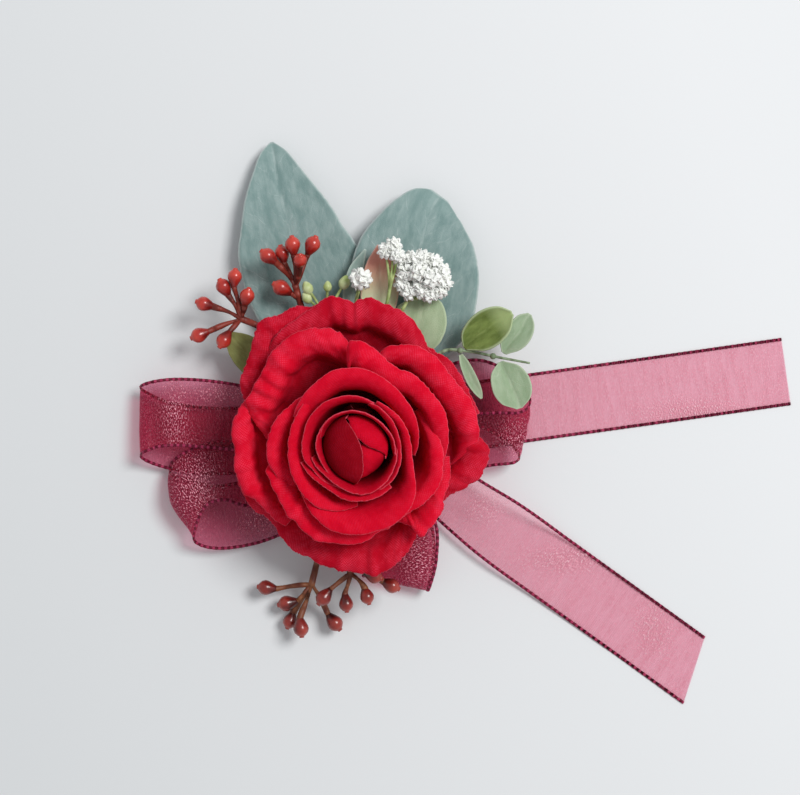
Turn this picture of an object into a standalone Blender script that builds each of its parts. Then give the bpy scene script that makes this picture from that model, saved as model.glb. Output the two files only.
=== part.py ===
"""Wrist corsage: a cloth rose, leaves, berries, filler flowers and an organza bow on one bound stem.

Everything is in metres once built; the dimensions below are in millimetres and turned by MM.
Origin: centre of the felt backing's underside.  +X runs towards the long ribbon tails, +Y towards
the large leaves and +Z away from the wrist, towards the face of the rose.
"""
import math

import bmesh
import bpy
import numpy as np
from mathutils import Matrix, Vector

MM = 0.001

# --- driving dimensions, millimetres -----------------------------------------------------------
FELT_RADIUS = 23.0
FELT_HEIGHT = 1.6
FIT = 0.3                      # clearance left between neighbouring pieces

HUB_RADIUS = 6.5
HUB_BOTTOM = FELT_HEIGHT + FIT
HUB_TOP = 11.8
ROOT = HUB_RADIUS + 0.4        # where stalks and ribbons meet the bundle

WIRE_RADIUS = 0.35
WIRE_HEIGHT = 11.3
CALYX_BOTTOM = HUB_TOP + FIT
CALYX_TOP = 13.9
CALYX_RADIUS = 6.4
SEPAL_REACH = 15.0
CORE_RADIUS = 4.6
CORE_BOTTOM = CALYX_TOP + FIT
CORE_HEIGHT = 16.6

RIBBON_WIDTH = 20.0
RIBBON_THICKNESS = 0.4
SQUARING = 0.45                 # how far a ribbon's width is turned square to its run
PETAL_THICKNESS = 0.5
LEAF_THICKNESS = 0.5
# spiral offset, ring by ring, that lets the petals of one ring overlap
PETAL_WRAP = {1: 0.68, 2: 0.68, 3: 0.74, 4: 0.85, 5: 0.85, 6: 0.9}
ROSE_LEAN = (-0.03, -0.22)     # sideways shift of the rose head per unit of height

BERRY_RADIUS = 2.1
STALK_RADIUS = 0.55

RIBBON_RED = (0.36, 0.06, 0.12)
ROSE_RED = (0.56, 0.01, 0.03)
FROSTED_GREEN = (0.24, 0.34, 0.33)


# --- shared tools ------------------------------------------------------------------------------
def finish(name, shape, colour, roughness=0.7):
    """Turn a bmesh in millimetres into a named object with its own material."""
    bmesh.ops.scale(shape, vec=(MM, MM, MM), verts=shape.verts)
    bmesh.ops.recalc_face_normals(shape, faces=shape.faces)
    mesh = bpy.data.meshes.new(name)
    shape.to_mesh(mesh)
    shape.free()
    for face in mesh.polygons:
        face.use_smooth = True
    surface = bpy.data.materials.new(name)
    surface.use_nodes = True
    settings = surface.node_tree.nodes["Principled BSDF"].inputs
    settings["Base Color"].default_value = (*colour, 1.0)
    settings["Roughness"].default_value = roughness
    mesh.materials.append(surface)
    item = bpy.data.objects.new(name, mesh)
    bpy.context.scene.collection.objects.link(item)
    return item


def polar(azimuth, radius, height):
    """A point from its direction in degrees, its distance from the axis and its height."""
    turn = math.radians(azimuth)
    return (radius * math.cos(turn), radius * math.sin(turn), height)


def smooth_path(stations, count):
    """Evenly spaced rows along a smooth curve through the stations; columns 0-2 are a position."""
    knots = np.array(stations, dtype=float)
    padded = np.vstack([2 * knots[0] - knots[1], knots, 2 * knots[-1] - knots[-2]])
    rows = []
    for k in range(len(knots) - 1):
        a, b, c, d = padded[k:k + 4]
        for u in np.linspace(0.0, 1.0, 12, endpoint=False):
            rows.append(0.5 * (2 * b + (c - a) * u + (2 * a - 5 * b + 4 * c - d) * u ** 2
                               + (3 * b - a - 3 * c + d) * u ** 3))
    rows.append(knots[-1])
    rows = np.array(rows)
    steps = np.linalg.norm(np.diff(rows[:, :3], axis=0), axis=1)
    run = np.concatenate([[0.0], np.cumsum(steps)])
    even = np.linspace(0.0, run[-1], count)
    return np.stack([np.interp(even, run, rows[:, c]) for c in range(rows.shape[1])], axis=1)


def sheet(grid, thickness):
    """Close a grid of middle-surface points into one thin solid."""
    along = np.gradient(grid, axis=0)
    across = np.gradient(grid, axis=1)
    normal = np.cross(across, along)
    normal /= np.linalg.norm(normal, axis=2, keepdims=True)
    half = np.broadcast_to(np.asarray(thickness, dtype=float) / 2, grid.shape[:1])
    lift = normal * half[:, None, None]
    shape = bmesh.new()
    upper = [[shape.verts.new(p) for p in row] for row in grid + lift]
    lower = [[shape.verts.new(p) for p in row] for row in grid - lift]
    rows, cols = grid.shape[:2]
    for i in range(rows - 1):
        for j in range(cols - 1):
            shape.faces.new((upper[i][j], upper[i][j + 1], upper[i + 1][j + 1], upper[i + 1][j]))
            shape.faces.new((lower[i][j], lower[i + 1][j], lower[i + 1][j + 1], lower[i][j + 1]))
    border = [(0, j) for j in range(cols)]
    border += [(i, cols - 1) for i in range(1, rows)]
    border += [(rows - 1, j) for j in range(cols - 2, -1, -1)]
    border += [(i, 0) for i in range(rows - 2, 0, -1)]
    for (i, j), (k, m) in zip(border, border[1:] + border[:1]):
        shape.faces.new((upper[i][j], lower[i][j], lower[k][m], upper[k][m]))
    return shape


def lathe(profile, segments, centre=(0.0, 0.0)):
    """Spin a closed outline of (radius, height) points round the vertical axis."""
    shape = bmesh.new()
    points = [shape.verts.new((centre[0] + r, centre[1], z)) for r, z in profile]
    edges = [shape.edges.new(pair) for pair in zip(points, points[1:])]
    bmesh.ops.spin(shape, geom=points + edges, cent=(centre[0], centre[1], 0.0), axis=(0, 0, 1),
                   angle=2 * math.pi, steps=segments, use_merge=True)
    bmesh.ops.remove_doubles(shape, verts=shape.verts, dist=0.0001)
    return shape


def stalk(points, radius, sides=6, taper=1.0):
    """A round stem through the points, closed at both ends."""
    path = np.array(points, dtype=float)
    tangent = np.gradient(path, axis=0)
    shape = bmesh.new()
    rings = []
    for k, (place, heading) in enumerate(zip(path, tangent)):
        turn = Vector(heading).to_track_quat("Z", "Y").to_matrix()
        size = radius * (1 + (taper - 1) * k / (len(path) - 1))
        ring = []
        for n in range(sides):
            angle = 2 * math.pi * n / sides
            ring.append(shape.verts.new(Vector(place) + turn @ Vector(
                (size * math.cos(angle), size * math.sin(angle), 0.0))))
        rings.append(ring)
    for low, high in zip(rings, rings[1:]):
        for n in range(sides):
            m = (n + 1) % sides
            shape.faces.new((low[n], low[m], high[m], high[n]))
    shape.faces.new(rings[0][::-1])
    shape.faces.new(rings[-1])
    bmesh.ops.recalc_face_normals(shape, faces=shape.faces)
    return shape


def bead(centre, heading, radius, length, sides=6, rings=5):
    """An egg-shaped solid whose long axis points along the heading."""
    shape = bmesh.new()
    bmesh.ops.create_uvsphere(shape, u_segments=sides, v_segments=rings, radius=1.0)
    turn = Vector(heading).to_track_quat("Z", "Y").to_matrix().to_4x4()
    size = Matrix.Diagonal((radius, radius, length / 2, 1.0))
    bmesh.ops.transform(shape, matrix=Matrix.Translation(centre) @ turn @ size, verts=shape.verts)
    return shape


def fuse(name, bodies, colour, roughness=0.5):
    """Join several closed bodies into one solid object."""
    items = [finish(f"{name}_{k}", body, colour, roughness) for k, body in enumerate(bodies)]
    whole = items[0]
    for other in items[1:]:
        join = whole.modifiers.new("join", "BOOLEAN")
        join.operation = "UNION"
        join.solver = "EXACT"
        join.object = other
        graph = bpy.context.evaluated_depsgraph_get()
        mesh = bpy.data.meshes.new_from_object(whole.evaluated_get(graph))
        whole.modifiers.clear()
        whole.data = mesh
        bpy.data.objects.remove(other, do_unlink=True)
    whole.name = name
    whole.data.name = name
    for face in whole.data.polygons:
        face.use_smooth = True
    return whole


for old in list(bpy.data.objects):
    bpy.data.objects.remove(old, do_unlink=True)


# --- felt backing, stem bundle, binding wire ----------------------------------------------------
finish("felt_backing", lathe([(0, 0), (FELT_RADIUS, 0), (FELT_RADIUS, FELT_HEIGHT),
                              (0, FELT_HEIGHT)], 40), (0.12, 0.2, 0.12))

finish("stem_bundle", lathe([(0, HUB_BOTTOM), (HUB_RADIUS - 0.5, HUB_BOTTOM),
                             (HUB_RADIUS, HUB_BOTTOM + 0.5), (HUB_RADIUS, HUB_TOP - 0.8),
                             (HUB_RADIUS - 0.8, HUB_TOP), (0, HUB_TOP)], 28), (0.1, 0.2, 0.06))

# The wire ring lies in the corner above the stalks, round the top of the bundle.
WIRE_RING = HUB_RADIUS + WIRE_RADIUS + FIT
wire_section = [(WIRE_RING + WIRE_RADIUS * math.cos(a), WIRE_HEIGHT + WIRE_RADIUS * math.sin(a))
                for a in np.linspace(0, 2 * math.pi, 7)]
finish("binding_wire", lathe(wire_section, 24), (0.35, 0.35, 0.33), 0.35)


# --- calyx and core of the rose -----------------------------------------------------------------
def sepal(azimuth):
    """One narrow green sepal, springing from inside the calyx cup."""
    rows = []
    for s in np.linspace(0, 1, 5):
        reach = 4.0 + (SEPAL_REACH - 4.0) * s
        half = 14.0 * (1 - s) + 2.0
        rows.append([polar(azimuth + t * half, reach, CALYX_TOP - 0.9 + 0.7 * s) for t in (-1, 0, 1)])
    return sheet(np.array(rows), 0.7)


cup = lathe([(0, CALYX_BOTTOM), (CALYX_RADIUS - 1.2, CALYX_BOTTOM), (CALYX_RADIUS, CALYX_TOP - 0.9),
             (CALYX_RADIUS - 0.6, CALYX_TOP), (0, CALYX_TOP)], 20)
fuse("rose_calyx", [cup] + [sepal(18 + 72 * k) for k in range(5)], (0.12, 0.24, 0.06))

finish("rose_core", lathe([(0, CORE_BOTTOM), (CORE_RADIUS, CORE_BOTTOM), (CORE_RADIUS, CORE_BOTTOM + 11.1),
                           (3.9, CORE_BOTTOM + 13.6), (2.4, CORE_BOTTOM + 15.8),
                           (0, CORE_BOTTOM + CORE_HEIGHT)], 24), (0.3, 0.01, 0.02))


# --- rose petals --------------------------------------------------------------------------------
# Each ring is a cup seen in section: (distance from the axis, height above the core's foot), from
# the core out to the lip.
CUPS = {
    "bud_dome": [(5.1, 10.8), (7.8, 13.2), (9.0, 19.0), (7.6, 25.0), (3.6, 27.9), (0.3, 28.3)],
    "bud_curl": [(5.0, 12.2), (7.0, 14.8), (7.4, 20.0), (5.8, 24.0), (3.8, 25.2)],
    "bud_fold": [(4.6, 13.4), (5.0, 17.6), (4.0, 22.4), (2.2, 24.2)],
    1: [(5.0, 8.8), (9.6, 11.4), (11.2, 18.6), (11.5, 25.8), (12.0, 26.2)],
    2: [(5.0, 7.3), (12.0, 9.8), (14.4, 17.1), (15.0, 24.4), (15.8, 24.8)],
    3: [(5.0, 5.8), (14.8, 7.9), (17.8, 15.1), (18.8, 22.5), (19.9, 22.5)],
    4: [(5.0, 4.3), (17.2, 5.8), (22.2, 12.2), (24.4, 18.4), (26.0, 17.6)],
    5: [(5.0, 2.8), (20.0, 3.8), (27.0, 8.4), (31.0, 14.0), (33.6, 12.6)],
    6: [(5.0, 1.3), (22.0, 1.6), (31.0, 3.8), (36.6, 7.2), (38.6, 5.2)],
}
# name, cup, direction, half-angle at the core and at the rim, reach, corner rounding, point, ripple
PETALS = [
    ("bud_dome", "bud_dome", 176, 60, 88, 1.0, 0.12, 0.0, 0.1),
    ("bud_curl", "bud_curl", 30, 48, 66, 1.0, 0.16, 0.0, 0.1),
    ("bud_fold", "bud_fold", -60, 50, 62, 1.0, 0.16, 0.0, 0.0),
    ("ring1_a", 1, 62, 48, 74, 1.0, 0.10, 0.0, 0.2),
    ("ring1_b", 1, 182, 48, 74, 1.0, 0.10, 0.0, 0.2),
    ("ring1_c", 1, 302, 48, 74, 1.02, 0.10, 0.0, 0.2),
    ("ring2_a", 2, 2, 48, 73, 1.0, 0.12, 0.0, 0.3),
    ("ring2_b", 2, 122, 48, 73, 1.0, 0.12, 0.0, 0.3),
    ("ring2_c", 2, 242, 48, 73, 1.02, 0.12, 0.0, 0.3),
    ("ring3_a", 3, 78, 46, 72, 1.03, 0.16, 0.0, 0.4),
    ("ring3_b", 3, 196, 46, 71, 1.0, 0.14, 0.0, 0.3),
    ("ring3_c", 3, 306, 46, 71, 1.11, 0.18, 0.0, 0.3),
    ("ring4_a", 4, 52, 38, 55, 1.00, 0.18, 0.0, 0.5),
    ("ring4_b", 4, 148, 38, 55, 1.00, 0.18, 0.0, 0.5),
    ("ring4_c", 4, 236, 38, 55, 1.00, 0.18, 0.0, 0.5),
    ("ring4_d", 4, 324, 38, 55, 1.02, 0.18, 0.0, 0.5),
    ("ring5_a", 5, 38, 38, 55, 1.04, 0.20, 0.0, 0.5),
    ("ring5_b", 5, 134, 38, 55, 1.04, 0.20, 0.0, 0.5),
    ("ring5_c", 5, 226, 38, 55, 0.93, 0.20, 0.0, 0.5),
    ("ring5_d", 5, 312, 38, 55, 0.95, 0.20, 0.0, 0.5),
    ("ring6_a", 6, 92, 25, 41, 1.00, 0.20, 0.0, 0.5),
    ("ring6_b", 6, 150, 25, 36, 1.01, 0.20, 0.0, 0.5),
    ("ring6_c", 6, 211, 25, 38, 0.98, 0.24, 0.0, 0.5),
    ("ring6_d", 6, 270, 25, 36, 1.00, 0.24, 0.0, 0.5),
    ("ring6_e", 6, 351, 18, 28, 0.91, 0.24, 0.12, 0.4),
    ("ring6_f", 6, 35, 18, 31, 0.87, 0.22, 0.0, 0.4),
]


def ease(value, low, high):
    """0 below low, 1 above high and a smooth step between."""
    step = min(max((value - low) / (high - low), 0.0), 1.0)
    return step * step * (3 - 2 * step)


def ring_reach(cup, azimuth):
    """How far a ring spreads in one direction, carried smoothly from petal to petal."""
    here = sorted((row[2] % 360, row[5]) for row in PETALS if row[1] == cup)
    return float(np.interp(azimuth, [a for a, _ in here], [r for _, r in here], period=360))


def petal(name, cup, azimuth, base_angle, rim_angle, corner, point, ripple):
    """One cloth petal: a piece of its ring's cup with rounded corners and a rippled rim."""
    wrap = PETAL_WRAP.get(cup, 0.2)
    curve = smooth_path([(r, 0.0, z) for r, z in CUPS[cup]], 61)
    slope = np.gradient(curve, axis=0)
    rows, cols = (8, 9) if cup in (4, 5, 6) else (7, 9)
    grid = np.zeros((rows, cols, 3))
    for i, s in enumerate(1 - (1 - np.linspace(0, 1, rows)) ** 1.3):
        for j, t in enumerate(np.linspace(-1, 1, cols)):
            end = s * (1 - corner * abs(t) ** 3.5 + point * (1 - abs(t)) ** 2)
            spot = min(end, 1.0) * 60
            k = min(int(spot), 59)
            here = curve[k] + (curve[k + 1] - curve[k]) * (spot - k)
            here = here + slope[60] * 60 * max(end - 1.0, 0.0)
            out = np.array([slope[k][2], 0.0, -slope[k][0]])
            out /= np.linalg.norm(out)
            shift = wrap * t * ease(end, 0.12, 0.42)
            shift += ripple * end ** 3 * (1 - t * t) ** 3 * math.sin(5.2 * t + azimuth)
            here = here + out * shift
            half = base_angle + (rim_angle - base_angle) * ease(end, 0.15, 0.5)
            turn = azimuth + t * half
            radius = here[0] * (1 + (ring_reach(cup, turn) - 1) * ease(end, 0.3, 1.0))
            x, y, z = polar(turn, radius, here[2])
            lean = z * ease(end, 0.0, 0.35)
            grid[i, j] = (x + ROSE_LEAN[0] * lean, y + ROSE_LEAN[1] * lean, CORE_BOTTOM + z)
    return finish(f"rose_petal_{name}", sheet(grid, PETAL_THICKNESS), ROSE_RED, 0.8)


for name, cup, azimuth, base_angle, rim_angle, _, corner, point, ripple in PETALS:
    petal(name, cup, azimuth, base_angle, rim_angle, corner, point, ripple)


# --- organza ribbon: four bow loops and two tails -----------------------------------------------
def ribbon(name, stations, rows, slant=0.0):
    """A flat band through stations of (x, y, z, half width, facing, tilt).

    The facing is the direction of the band's width in plan, the tilt how far that width rises.
    A slant cuts the last end askew by that much on either side.
    """
    path = smooth_path(stations, rows)
    tangent = np.gradient(path[:, :3], axis=0)
    tangent /= np.linalg.norm(tangent, axis=1, keepdims=True)
    facing = np.radians(path[:, 4])
    tilt = np.radians(path[:, 5])
    width = np.stack([np.cos(facing) * np.cos(tilt), np.sin(facing) * np.cos(tilt),
                      np.sin(tilt)], axis=1)
    width -= SQUARING * tangent * np.sum(width * tangent, axis=1, keepdims=True)
    width /= np.linalg.norm(width, axis=1, keepdims=True)
    grid = np.stack([path[:, :3] + width * path[:, 3:4] * t for t in (-1, 0, 1)], axis=1)
    grid[-1] += np.array([-1, 0, 1])[:, None] * tangent[-1] * slant
    return finish(name, sheet(grid, RIBBON_THICKNESS), RIBBON_RED, 0.5)


HALF = RIBBON_WIDTH / 2
GATHER = 2.3                   # half width of a ribbon where it is pinched in the bundle


def root_at(azimuth, height, half, facing, tilt=0.0):
    """The station where a ribbon meets the bundle."""
    return (*polar(azimuth, ROOT + 0.1, height), half, facing, tilt)


ribbon("bow_loop_left_upper", [
    root_at(178, 3.5, GATHER, 90), (-16, 0, 3.2, 6, 90, 0), (-27, -0.6, 3.0, 9.4, 90, 0),
    (-42, -1.0, 2.6, HALF, 91, 0), (-54.5, -0.8, 3.2, HALF, 91, 0),
    (-61.4, 1.0, 4.4, 9.8, 89, 0), (-63.4, 2.8, 6.2, 9.8, 87, 0), (-61.0, 4.4, 8.2, 9.8, 85, 0),
    (-54, 5.4, 8.6, HALF, 84, 0), (-40, 4.6, 8.2, HALF, 84, 0), (-27, 3.4, 7.4, 9.0, 86, 0),
    (-16, 1.9, 6.4, 6, 88, 0), root_at(176, 5.5, GATHER, 88)], 27)

ribbon("bow_loop_left_lower", [
    root_at(223, 4.2, GATHER, 313), (-13.5, -12.2, 4.2, 5.6, 310, -4),
    (-23, -19.5, 5.2, 8.6, 300, -14), (-33, -25.2, 6.6, 9.4, 280, -30),
    (-39.5, -26.8, 7.0, 9.6, 274, -34), (-45.4, -26.6, 7.0, 9.4, 285, -20),
    (-49.0, -25.0, 9.0, 9.2, 300, -2), (-48.6, -20.8, 11.8, 9.2, 311, 12),
    (-45.2, -15.0, 13.0, 9.4, 318, 20), (-38, -9.8, 13.0, 9.4, 310, 18),
    (-27, -7.0, 12.2, 8.2, 296, 6), (-15, -4.6, 10.6, 5, 286, 0),
    root_at(197, 8.8, GATHER, 286)], 27)

ribbon("bow_loop_right", [
    root_at(10, 3.7, GATHER, 100), (16, 3.4, 4.0, 6, 99, 0), (26, 5.8, 5.0, 9.2, 97, 0),
    (36, 7.2, 5.6, HALF, 93, 0), (43.0, 6.6, 5.6, HALF, 88, 0), (46.8, 5.2, 6.6, 9.8, 85, 0),
    (48.0, 3.6, 8.8, 9.8, 82, 0), (45.4, 2.0, 11.2, 9.8, 82, 2), (40, 0.6, 11.8, HALF, 84, 4),
    (30, 0.0, 11.4, 9.4, 89, 3), (17, 0.2, 9.6, 6, 90, 0),
    root_at(2, 7.8, GATHER, 91)], 25)

ribbon("bow_loop_bottom", [
    root_at(-68, 3.9, GATHER, 22), (6.6, -17, 4.2, 6, 20, 0), (10.4, -27, 3.8, 9.6, 16, 0),
    (12.2, -35, 2.6, HALF, 12, 0), (11.4, -41.2, 2.6, HALF, 11, 0), (10.2, -44.0, 5.0, HALF, 12, 0),
    (10.6, -42.2, 8.2, HALF, 12, 0), (12.0, -36, 9.6, HALF, 10, 0), (11.6, -27, 9.6, 9.6, 12, 0),
    (8.0, -17, 8.8, 6, 18, 0), root_at(-66, 7.6, GATHER, 22)], 25)

ribbon("ribbon_tail_right", [
    root_at(8, 2.3, GATHER, 98), (14, 1.6, 2.2, 5, 98, 0), (24.5, 3.0, 2.1, 9, 98, 0),
    (34, 4.4, 1.4, HALF, 98, 0), (48, 6.4, 0.4, HALF, 98, 0), (86, 11.7, 0.3, HALF, 98, 0),
    (124.6, 17.2, 0.3, HALF, 98, 0)], 18)

ribbon("ribbon_tail_lower", [
    root_at(-36, 2.3, GATHER, 54), (12, -8.6, 2.3, 4.6, 54, 0), (22, -15.8, 2.8, 7.6, 54, 4),
    (32, -23.2, 5.2, 9.2, 54, 10), (42, -30.4, 4.4, HALF, 54.5, 6), (56, -40.6, 1.4, HALF, 54.5, 0),
    (76, -55.0, 0.4, HALF, 54.5, 0), (97.6, -70.6, 0.3, HALF, 54.5, 0)], 20, slant=-3.2)


# --- leaves -------------------------------------------------------------------------------------
def leaf(name, azimuth, level, spine, colour, cup=0.0, facing=None):
    """A leaf with its stalk: the spine lists (x, y, z, half width) from the bundle to the tip."""
    start = (*polar(azimuth, ROOT, level), 0.8)
    path = smooth_path([start] + spine, 15)
    tangent = np.gradient(path[:, :3], axis=0)
    rows = []
    for place, heading, half in zip(path[:, :3], tangent, path[:, 3]):
        side = Vector((-heading[1], heading[0], 0.0)).normalized()
        if facing is not None:
            side = (side + Vector(facing)).normalized()
        half = max(half, 0.25)
        rise = cup * half
        rows.append([np.array(place) + half * t * np.array(side) + np.array((0, 0, rise * t * t))
                     for t in (-1, -0.5, 0, 0.5, 1)])
    return finish(name, sheet(np.array(rows), LEAF_THICKNESS), colour, 0.75)


leaf("leaf_large_left", 107, 3.0, [
    (-5.6, 15.0, 3.0, 2.0), (-9.5, 25.0, 3.4, 10), (-13.2, 35.0, 4.0, 16), (-16.4, 44.0, 4.8, 17.6),
    (-19.7, 52.5, 5.6, 16.6), (-21.4, 59.5, 6.0, 14.4), (-23.4, 67.5, 6.0, 11.2),
    (-25.0, 75.8, 5.2, 6.9), (-25.9, 81.2, 4.2, 3.8), (-26.3, 84.2, 3.6, 0.4)], FROSTED_GREEN, 0.06)

leaf("leaf_large_right", 69, 4.6, [
    (6.6, 15.0, 5.0, 2.4), (10.6, 24.0, 5.6, 12.5), (13.4, 33.0, 6.4, 18.2),
    (15.0, 41.5, 7.0, 18.9), (16.1, 49.0, 7.4, 18.2), (17.4, 55.0, 7.4, 16.2),
    (18.8, 60.4, 7.0, 12.8), (20.4, 64.6, 6.4, 9.4), (21.8, 67.0, 5.8, 6.4),
    (22.8, 68.4, 5.4, 2.8)], FROSTED_GREEN, 0.05)

leaf("leaf_round", 58, 6.4, [
    (7.6, 13.0, 7.0, 1.0), (12.0, 21.5, 8.2, 3.2), (14.6, 26.6, 9.4, 7.0), (16.6, 31.0, 10.4, 8.0),
    (17.4, 35.4, 11.0, 6.8), (17.4, 38.0, 11.2, 4.2), (17.3, 39.2, 11.2, 1.2)],
    (0.3, 0.4, 0.24), 0.04)

leaf("leaf_blush", 84, 6.4, [
    (1.6, 16.0, 7.6, 0.9), (3.6, 28.0, 10.0, 2.6), (5.2, 37.0, 11.4, 4.9), (5.9, 43.6, 12.4, 4.6),
    (5.6, 49.0, 13.6, 2.8), (5.1, 53.2, 14.4, 0.3)], (0.5, 0.3, 0.22), 0.1)

leaf("leaf_pale", 93, 4.9, [
    (-0.8, 16.0, 6.4, 0.9), (-1.6, 28.0, 8.4, 1.4), (-1.8, 38.0, 9.6, 3.0), (-1.2, 46.0, 10.2, 3.2),
    (-0.6, 52.6, 10.4, 0.3)], (0.5, 0.55, 0.45), 0.1)

leaf("leaf_low_left", 151, 8.4, [
    (-13.4, 8.8, 9.4, 1.0), (-22.0, 14.0, 10.0, 2.4), (-29.4, 19.4, 10.0, 5.0),
    (-35.0, 24.4, 10.0, 4.2), (-39.2, 28.6, 9.8, 0.4)], (0.16, 0.15, 0.06), 0.1)


# --- sprig of four small leaves at the right ------------------------------------------------------
sprig_line = [polar(30, ROOT + 0.4, 9.2), (12.6, 10.8, 10.4), (22.2, 22.0, 12.6), (29.4, 23.0, 13.6),
              (39.8, 21.0, 15.0), (48.4, 19.4, 15.2)]
sprig_path = smooth_path(sprig_line, 17)
finish("sprig_stem", stalk(sprig_path, 0.75, 6, 0.45), (0.3, 0.34, 0.2), 0.6)


def sprig_leaf(name, spine, colour, cup):
    """A small blade that starts just clear of the sprig's stem."""
    path = smooth_path(spine, 9)
    tangent = np.gradient(path[:, :3], axis=0)
    rows = []
    for place, heading, half in zip(path[:, :3], tangent, path[:, 3]):
        side = np.array(Vector((-heading[1], heading[0], 0.0)).normalized())
        rows.append([place + half * t * side + np.array((0, 0, cup * half * t * t))
                     for t in (-1, -0.5, 0, 0.5, 1)])
    return finish(name, sheet(np.array(rows), LEAF_THICKNESS), colour, 0.7)


sprig_leaf("sprig_leaf_upper_left", [
    (29.6, 24.4, 14.2, 0.8), (32.0, 26.6, 15.4, 3.4), (36.0, 29.8, 16.8, 4.6), (39.8, 32.6, 17.8, 3.0),
    (42.0, 33.8, 18.2, 0.5)], (0.2, 0.27, 0.08), 0.5)
sprig_leaf("sprig_leaf_upper_right", [
    (40.9, 22.2, 15.4, 0.7), (42.4, 24.6, 16.2, 3.0), (45.0, 27.8, 17.0, 3.8), (47.0, 31.4, 17.4, 2.8),
    (48.2, 33.4, 17.6, 0.5)], (0.3, 0.42, 0.32), 0.25)
sprig_leaf("sprig_leaf_narrow", [
    (28.6, 21.9, 13.5, 0.6), (29.8, 19.0, 13.6, 1.4), (31.8, 14.6, 13.9, 1.7), (33.6, 11.2, 14.0, 1.2),
    (34.6, 9.2, 14.0, 0.3)], (0.42, 0.45, 0.35), 0.1)
sprig_leaf("sprig_leaf_round", [
    (40.0, 19.8, 15.0, 0.7), (41.0, 17.2, 15.6, 4.2), (43.0, 13.0, 16.2, 5.6), (44.6, 9.0, 16.2, 4.4),
    (45.4, 6.4, 16.0, 0.8)], (0.34, 0.44, 0.27), 0.15)


# --- berry sprigs -------------------------------------------------------------------------------
def berry_sprig(name, azimuth, level, trunk, berries, colour):
    """Berries on short stalks: the trunk runs from the bundle, each berry has its place and tip."""
    start = polar(azimuth, ROOT + 0.3, level)
    line = smooth_path([start] + trunk, 9)
    bodies = [stalk(line, 0.8, 6, 0.8)]
    for place, tip, joint in berries:
        place = np.array(place, dtype=float)
        tip = np.array(tip, dtype=float)
        tip /= np.linalg.norm(tip)
        fork = line[joint] - (line[joint] - line[joint - 1]) * 0.1
        middle = (fork + place) / 2 + np.array((0.25, 0.3, 0.45))
        bodies.append(stalk([fork, middle, place + tip * 0.4], STALK_RADIUS, 5))
        bodies.append(bead(place, tip, BERRY_RADIUS, 5.0))
    return fuse(name, bodies, colour)


BERRY_RED = (0.4, 0.03, 0.02)
berry_sprig("berry_sprig_top", 112, 7.0, [
    (-5.6, 15.0, 8.6), (-11.6, 25.0, 10.2), (-16.6, 34.0, 11.4), (-19.0, 42.0, 13.6)], [
    ((-13.9, 53.0, 18.0), (0.5, 1, 0.3), 8), ((-19.4, 52.9, 18.0), (-0.1, 1, 0.4), 8),
    ((-22.6, 50.6, 15.2), (-0.2, 1, 0.1), 8), ((-26.4, 49.8, 17.4), (-1, 0.8, 0.2), 8),
    ((-17.2, 48.4, 20.2), (0.1, 0.6, 0.8), 8), ((-22.8, 41.0, 12.6), (-0.9, 0.5, 0.1), 7)], BERRY_RED)
berry_sprig("berry_sprig_left", 140, 6.8, [
    (-12.0, 12.0, 8.4), (-21.0, 24.0, 10.0), (-28.7, 29.6, 11.0), (-35.0, 32.4, 11.6)], [
    ((-36.2, 43.9, 15.4), (0.1, 1, 0.3), 8), ((-39.4, 41.2, 14.0), (-0.5, 0.9, 0.2), 8),
    ((-45.0, 36.4, 13.4), (-1, 0.3, 0.1), 8), ((-32.7, 38.4, 15.4), (0.3, 1, 0.5), 8),
    ((-46.6, 27.6, 11.4), (-1, -0.4, 0), 8), ((-39.4, 26.2, 12.6), (-0.5, -0.8, 0.2), 8)], BERRY_RED)
berry_sprig("berry_sprig_bottom_left", -108, 9.4, [
    (-6.4, -16.0, 10.6), (-10.4, -28.0, 10.4), (-12.8, -38.0, 9.0), (-14.6, -45.2, 7.0)], [
    ((-27.6, -45.8, 6.0), (-1, 0.1, 0), 8), ((-21.6, -50.4, 5.2), (-1, -0.2, 0), 8),
    ((-20.9, -55.6, 3.6), (-0.4, -1, 0), 8), ((-17.6, -57.2, 7.6), (0.1, -1, 0), 8),
    ((-8.0, -56.0, 5.0), (0.7, -0.9, 0), 8)], (0.2, 0.03, 0.02))
berry_sprig("berry_sprig_bottom_right", -88, 9.6, [
    (-0.6, -16.0, 11.4), (-1.6, -28.0, 12.6), (-2.6, -36.0, 12.6), (-3.2, -41.6, 12.0)], [
    ((-10.7, -48.0, 11.4), (-0.8, -1, 0), 8), ((-4.4, -49.8, 11.0), (0.1, -1, 0), 8),
    ((1.6, -47.6, 12.4), (0.3, -1, 0), 8), ((8.6, -44.4, 14.0), (1, -0.5, 0), 7),
    ((3.6, -41.6, 14.6), (0.9, -0.3, 0.3), 7)], (0.2, 0.03, 0.02))


# --- white filler flowers and pale buds ------------------------------------------------------------
def flower_spray(name, azimuth, level, trunk, heads, colour, radius=2.6):
    """Small flower heads on one forked stalk."""
    start = polar(azimuth, ROOT + 0.2, level)
    line = smooth_path([start] + trunk, 9)
    bodies = [stalk(line, 0.6, 5)]
    for place, size in heads:
        place = np.array(place, dtype=float)
        bodies.append(stalk([line[7], (line[7] + place) / 2 + np.array((0.2, 0.1, 0.2)), place],
                            0.45, 5))
        bodies.append(bead(place, place - line[6], radius * size, 2 * radius * size * 0.8))
    return fuse(name, bodies, colour)


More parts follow.
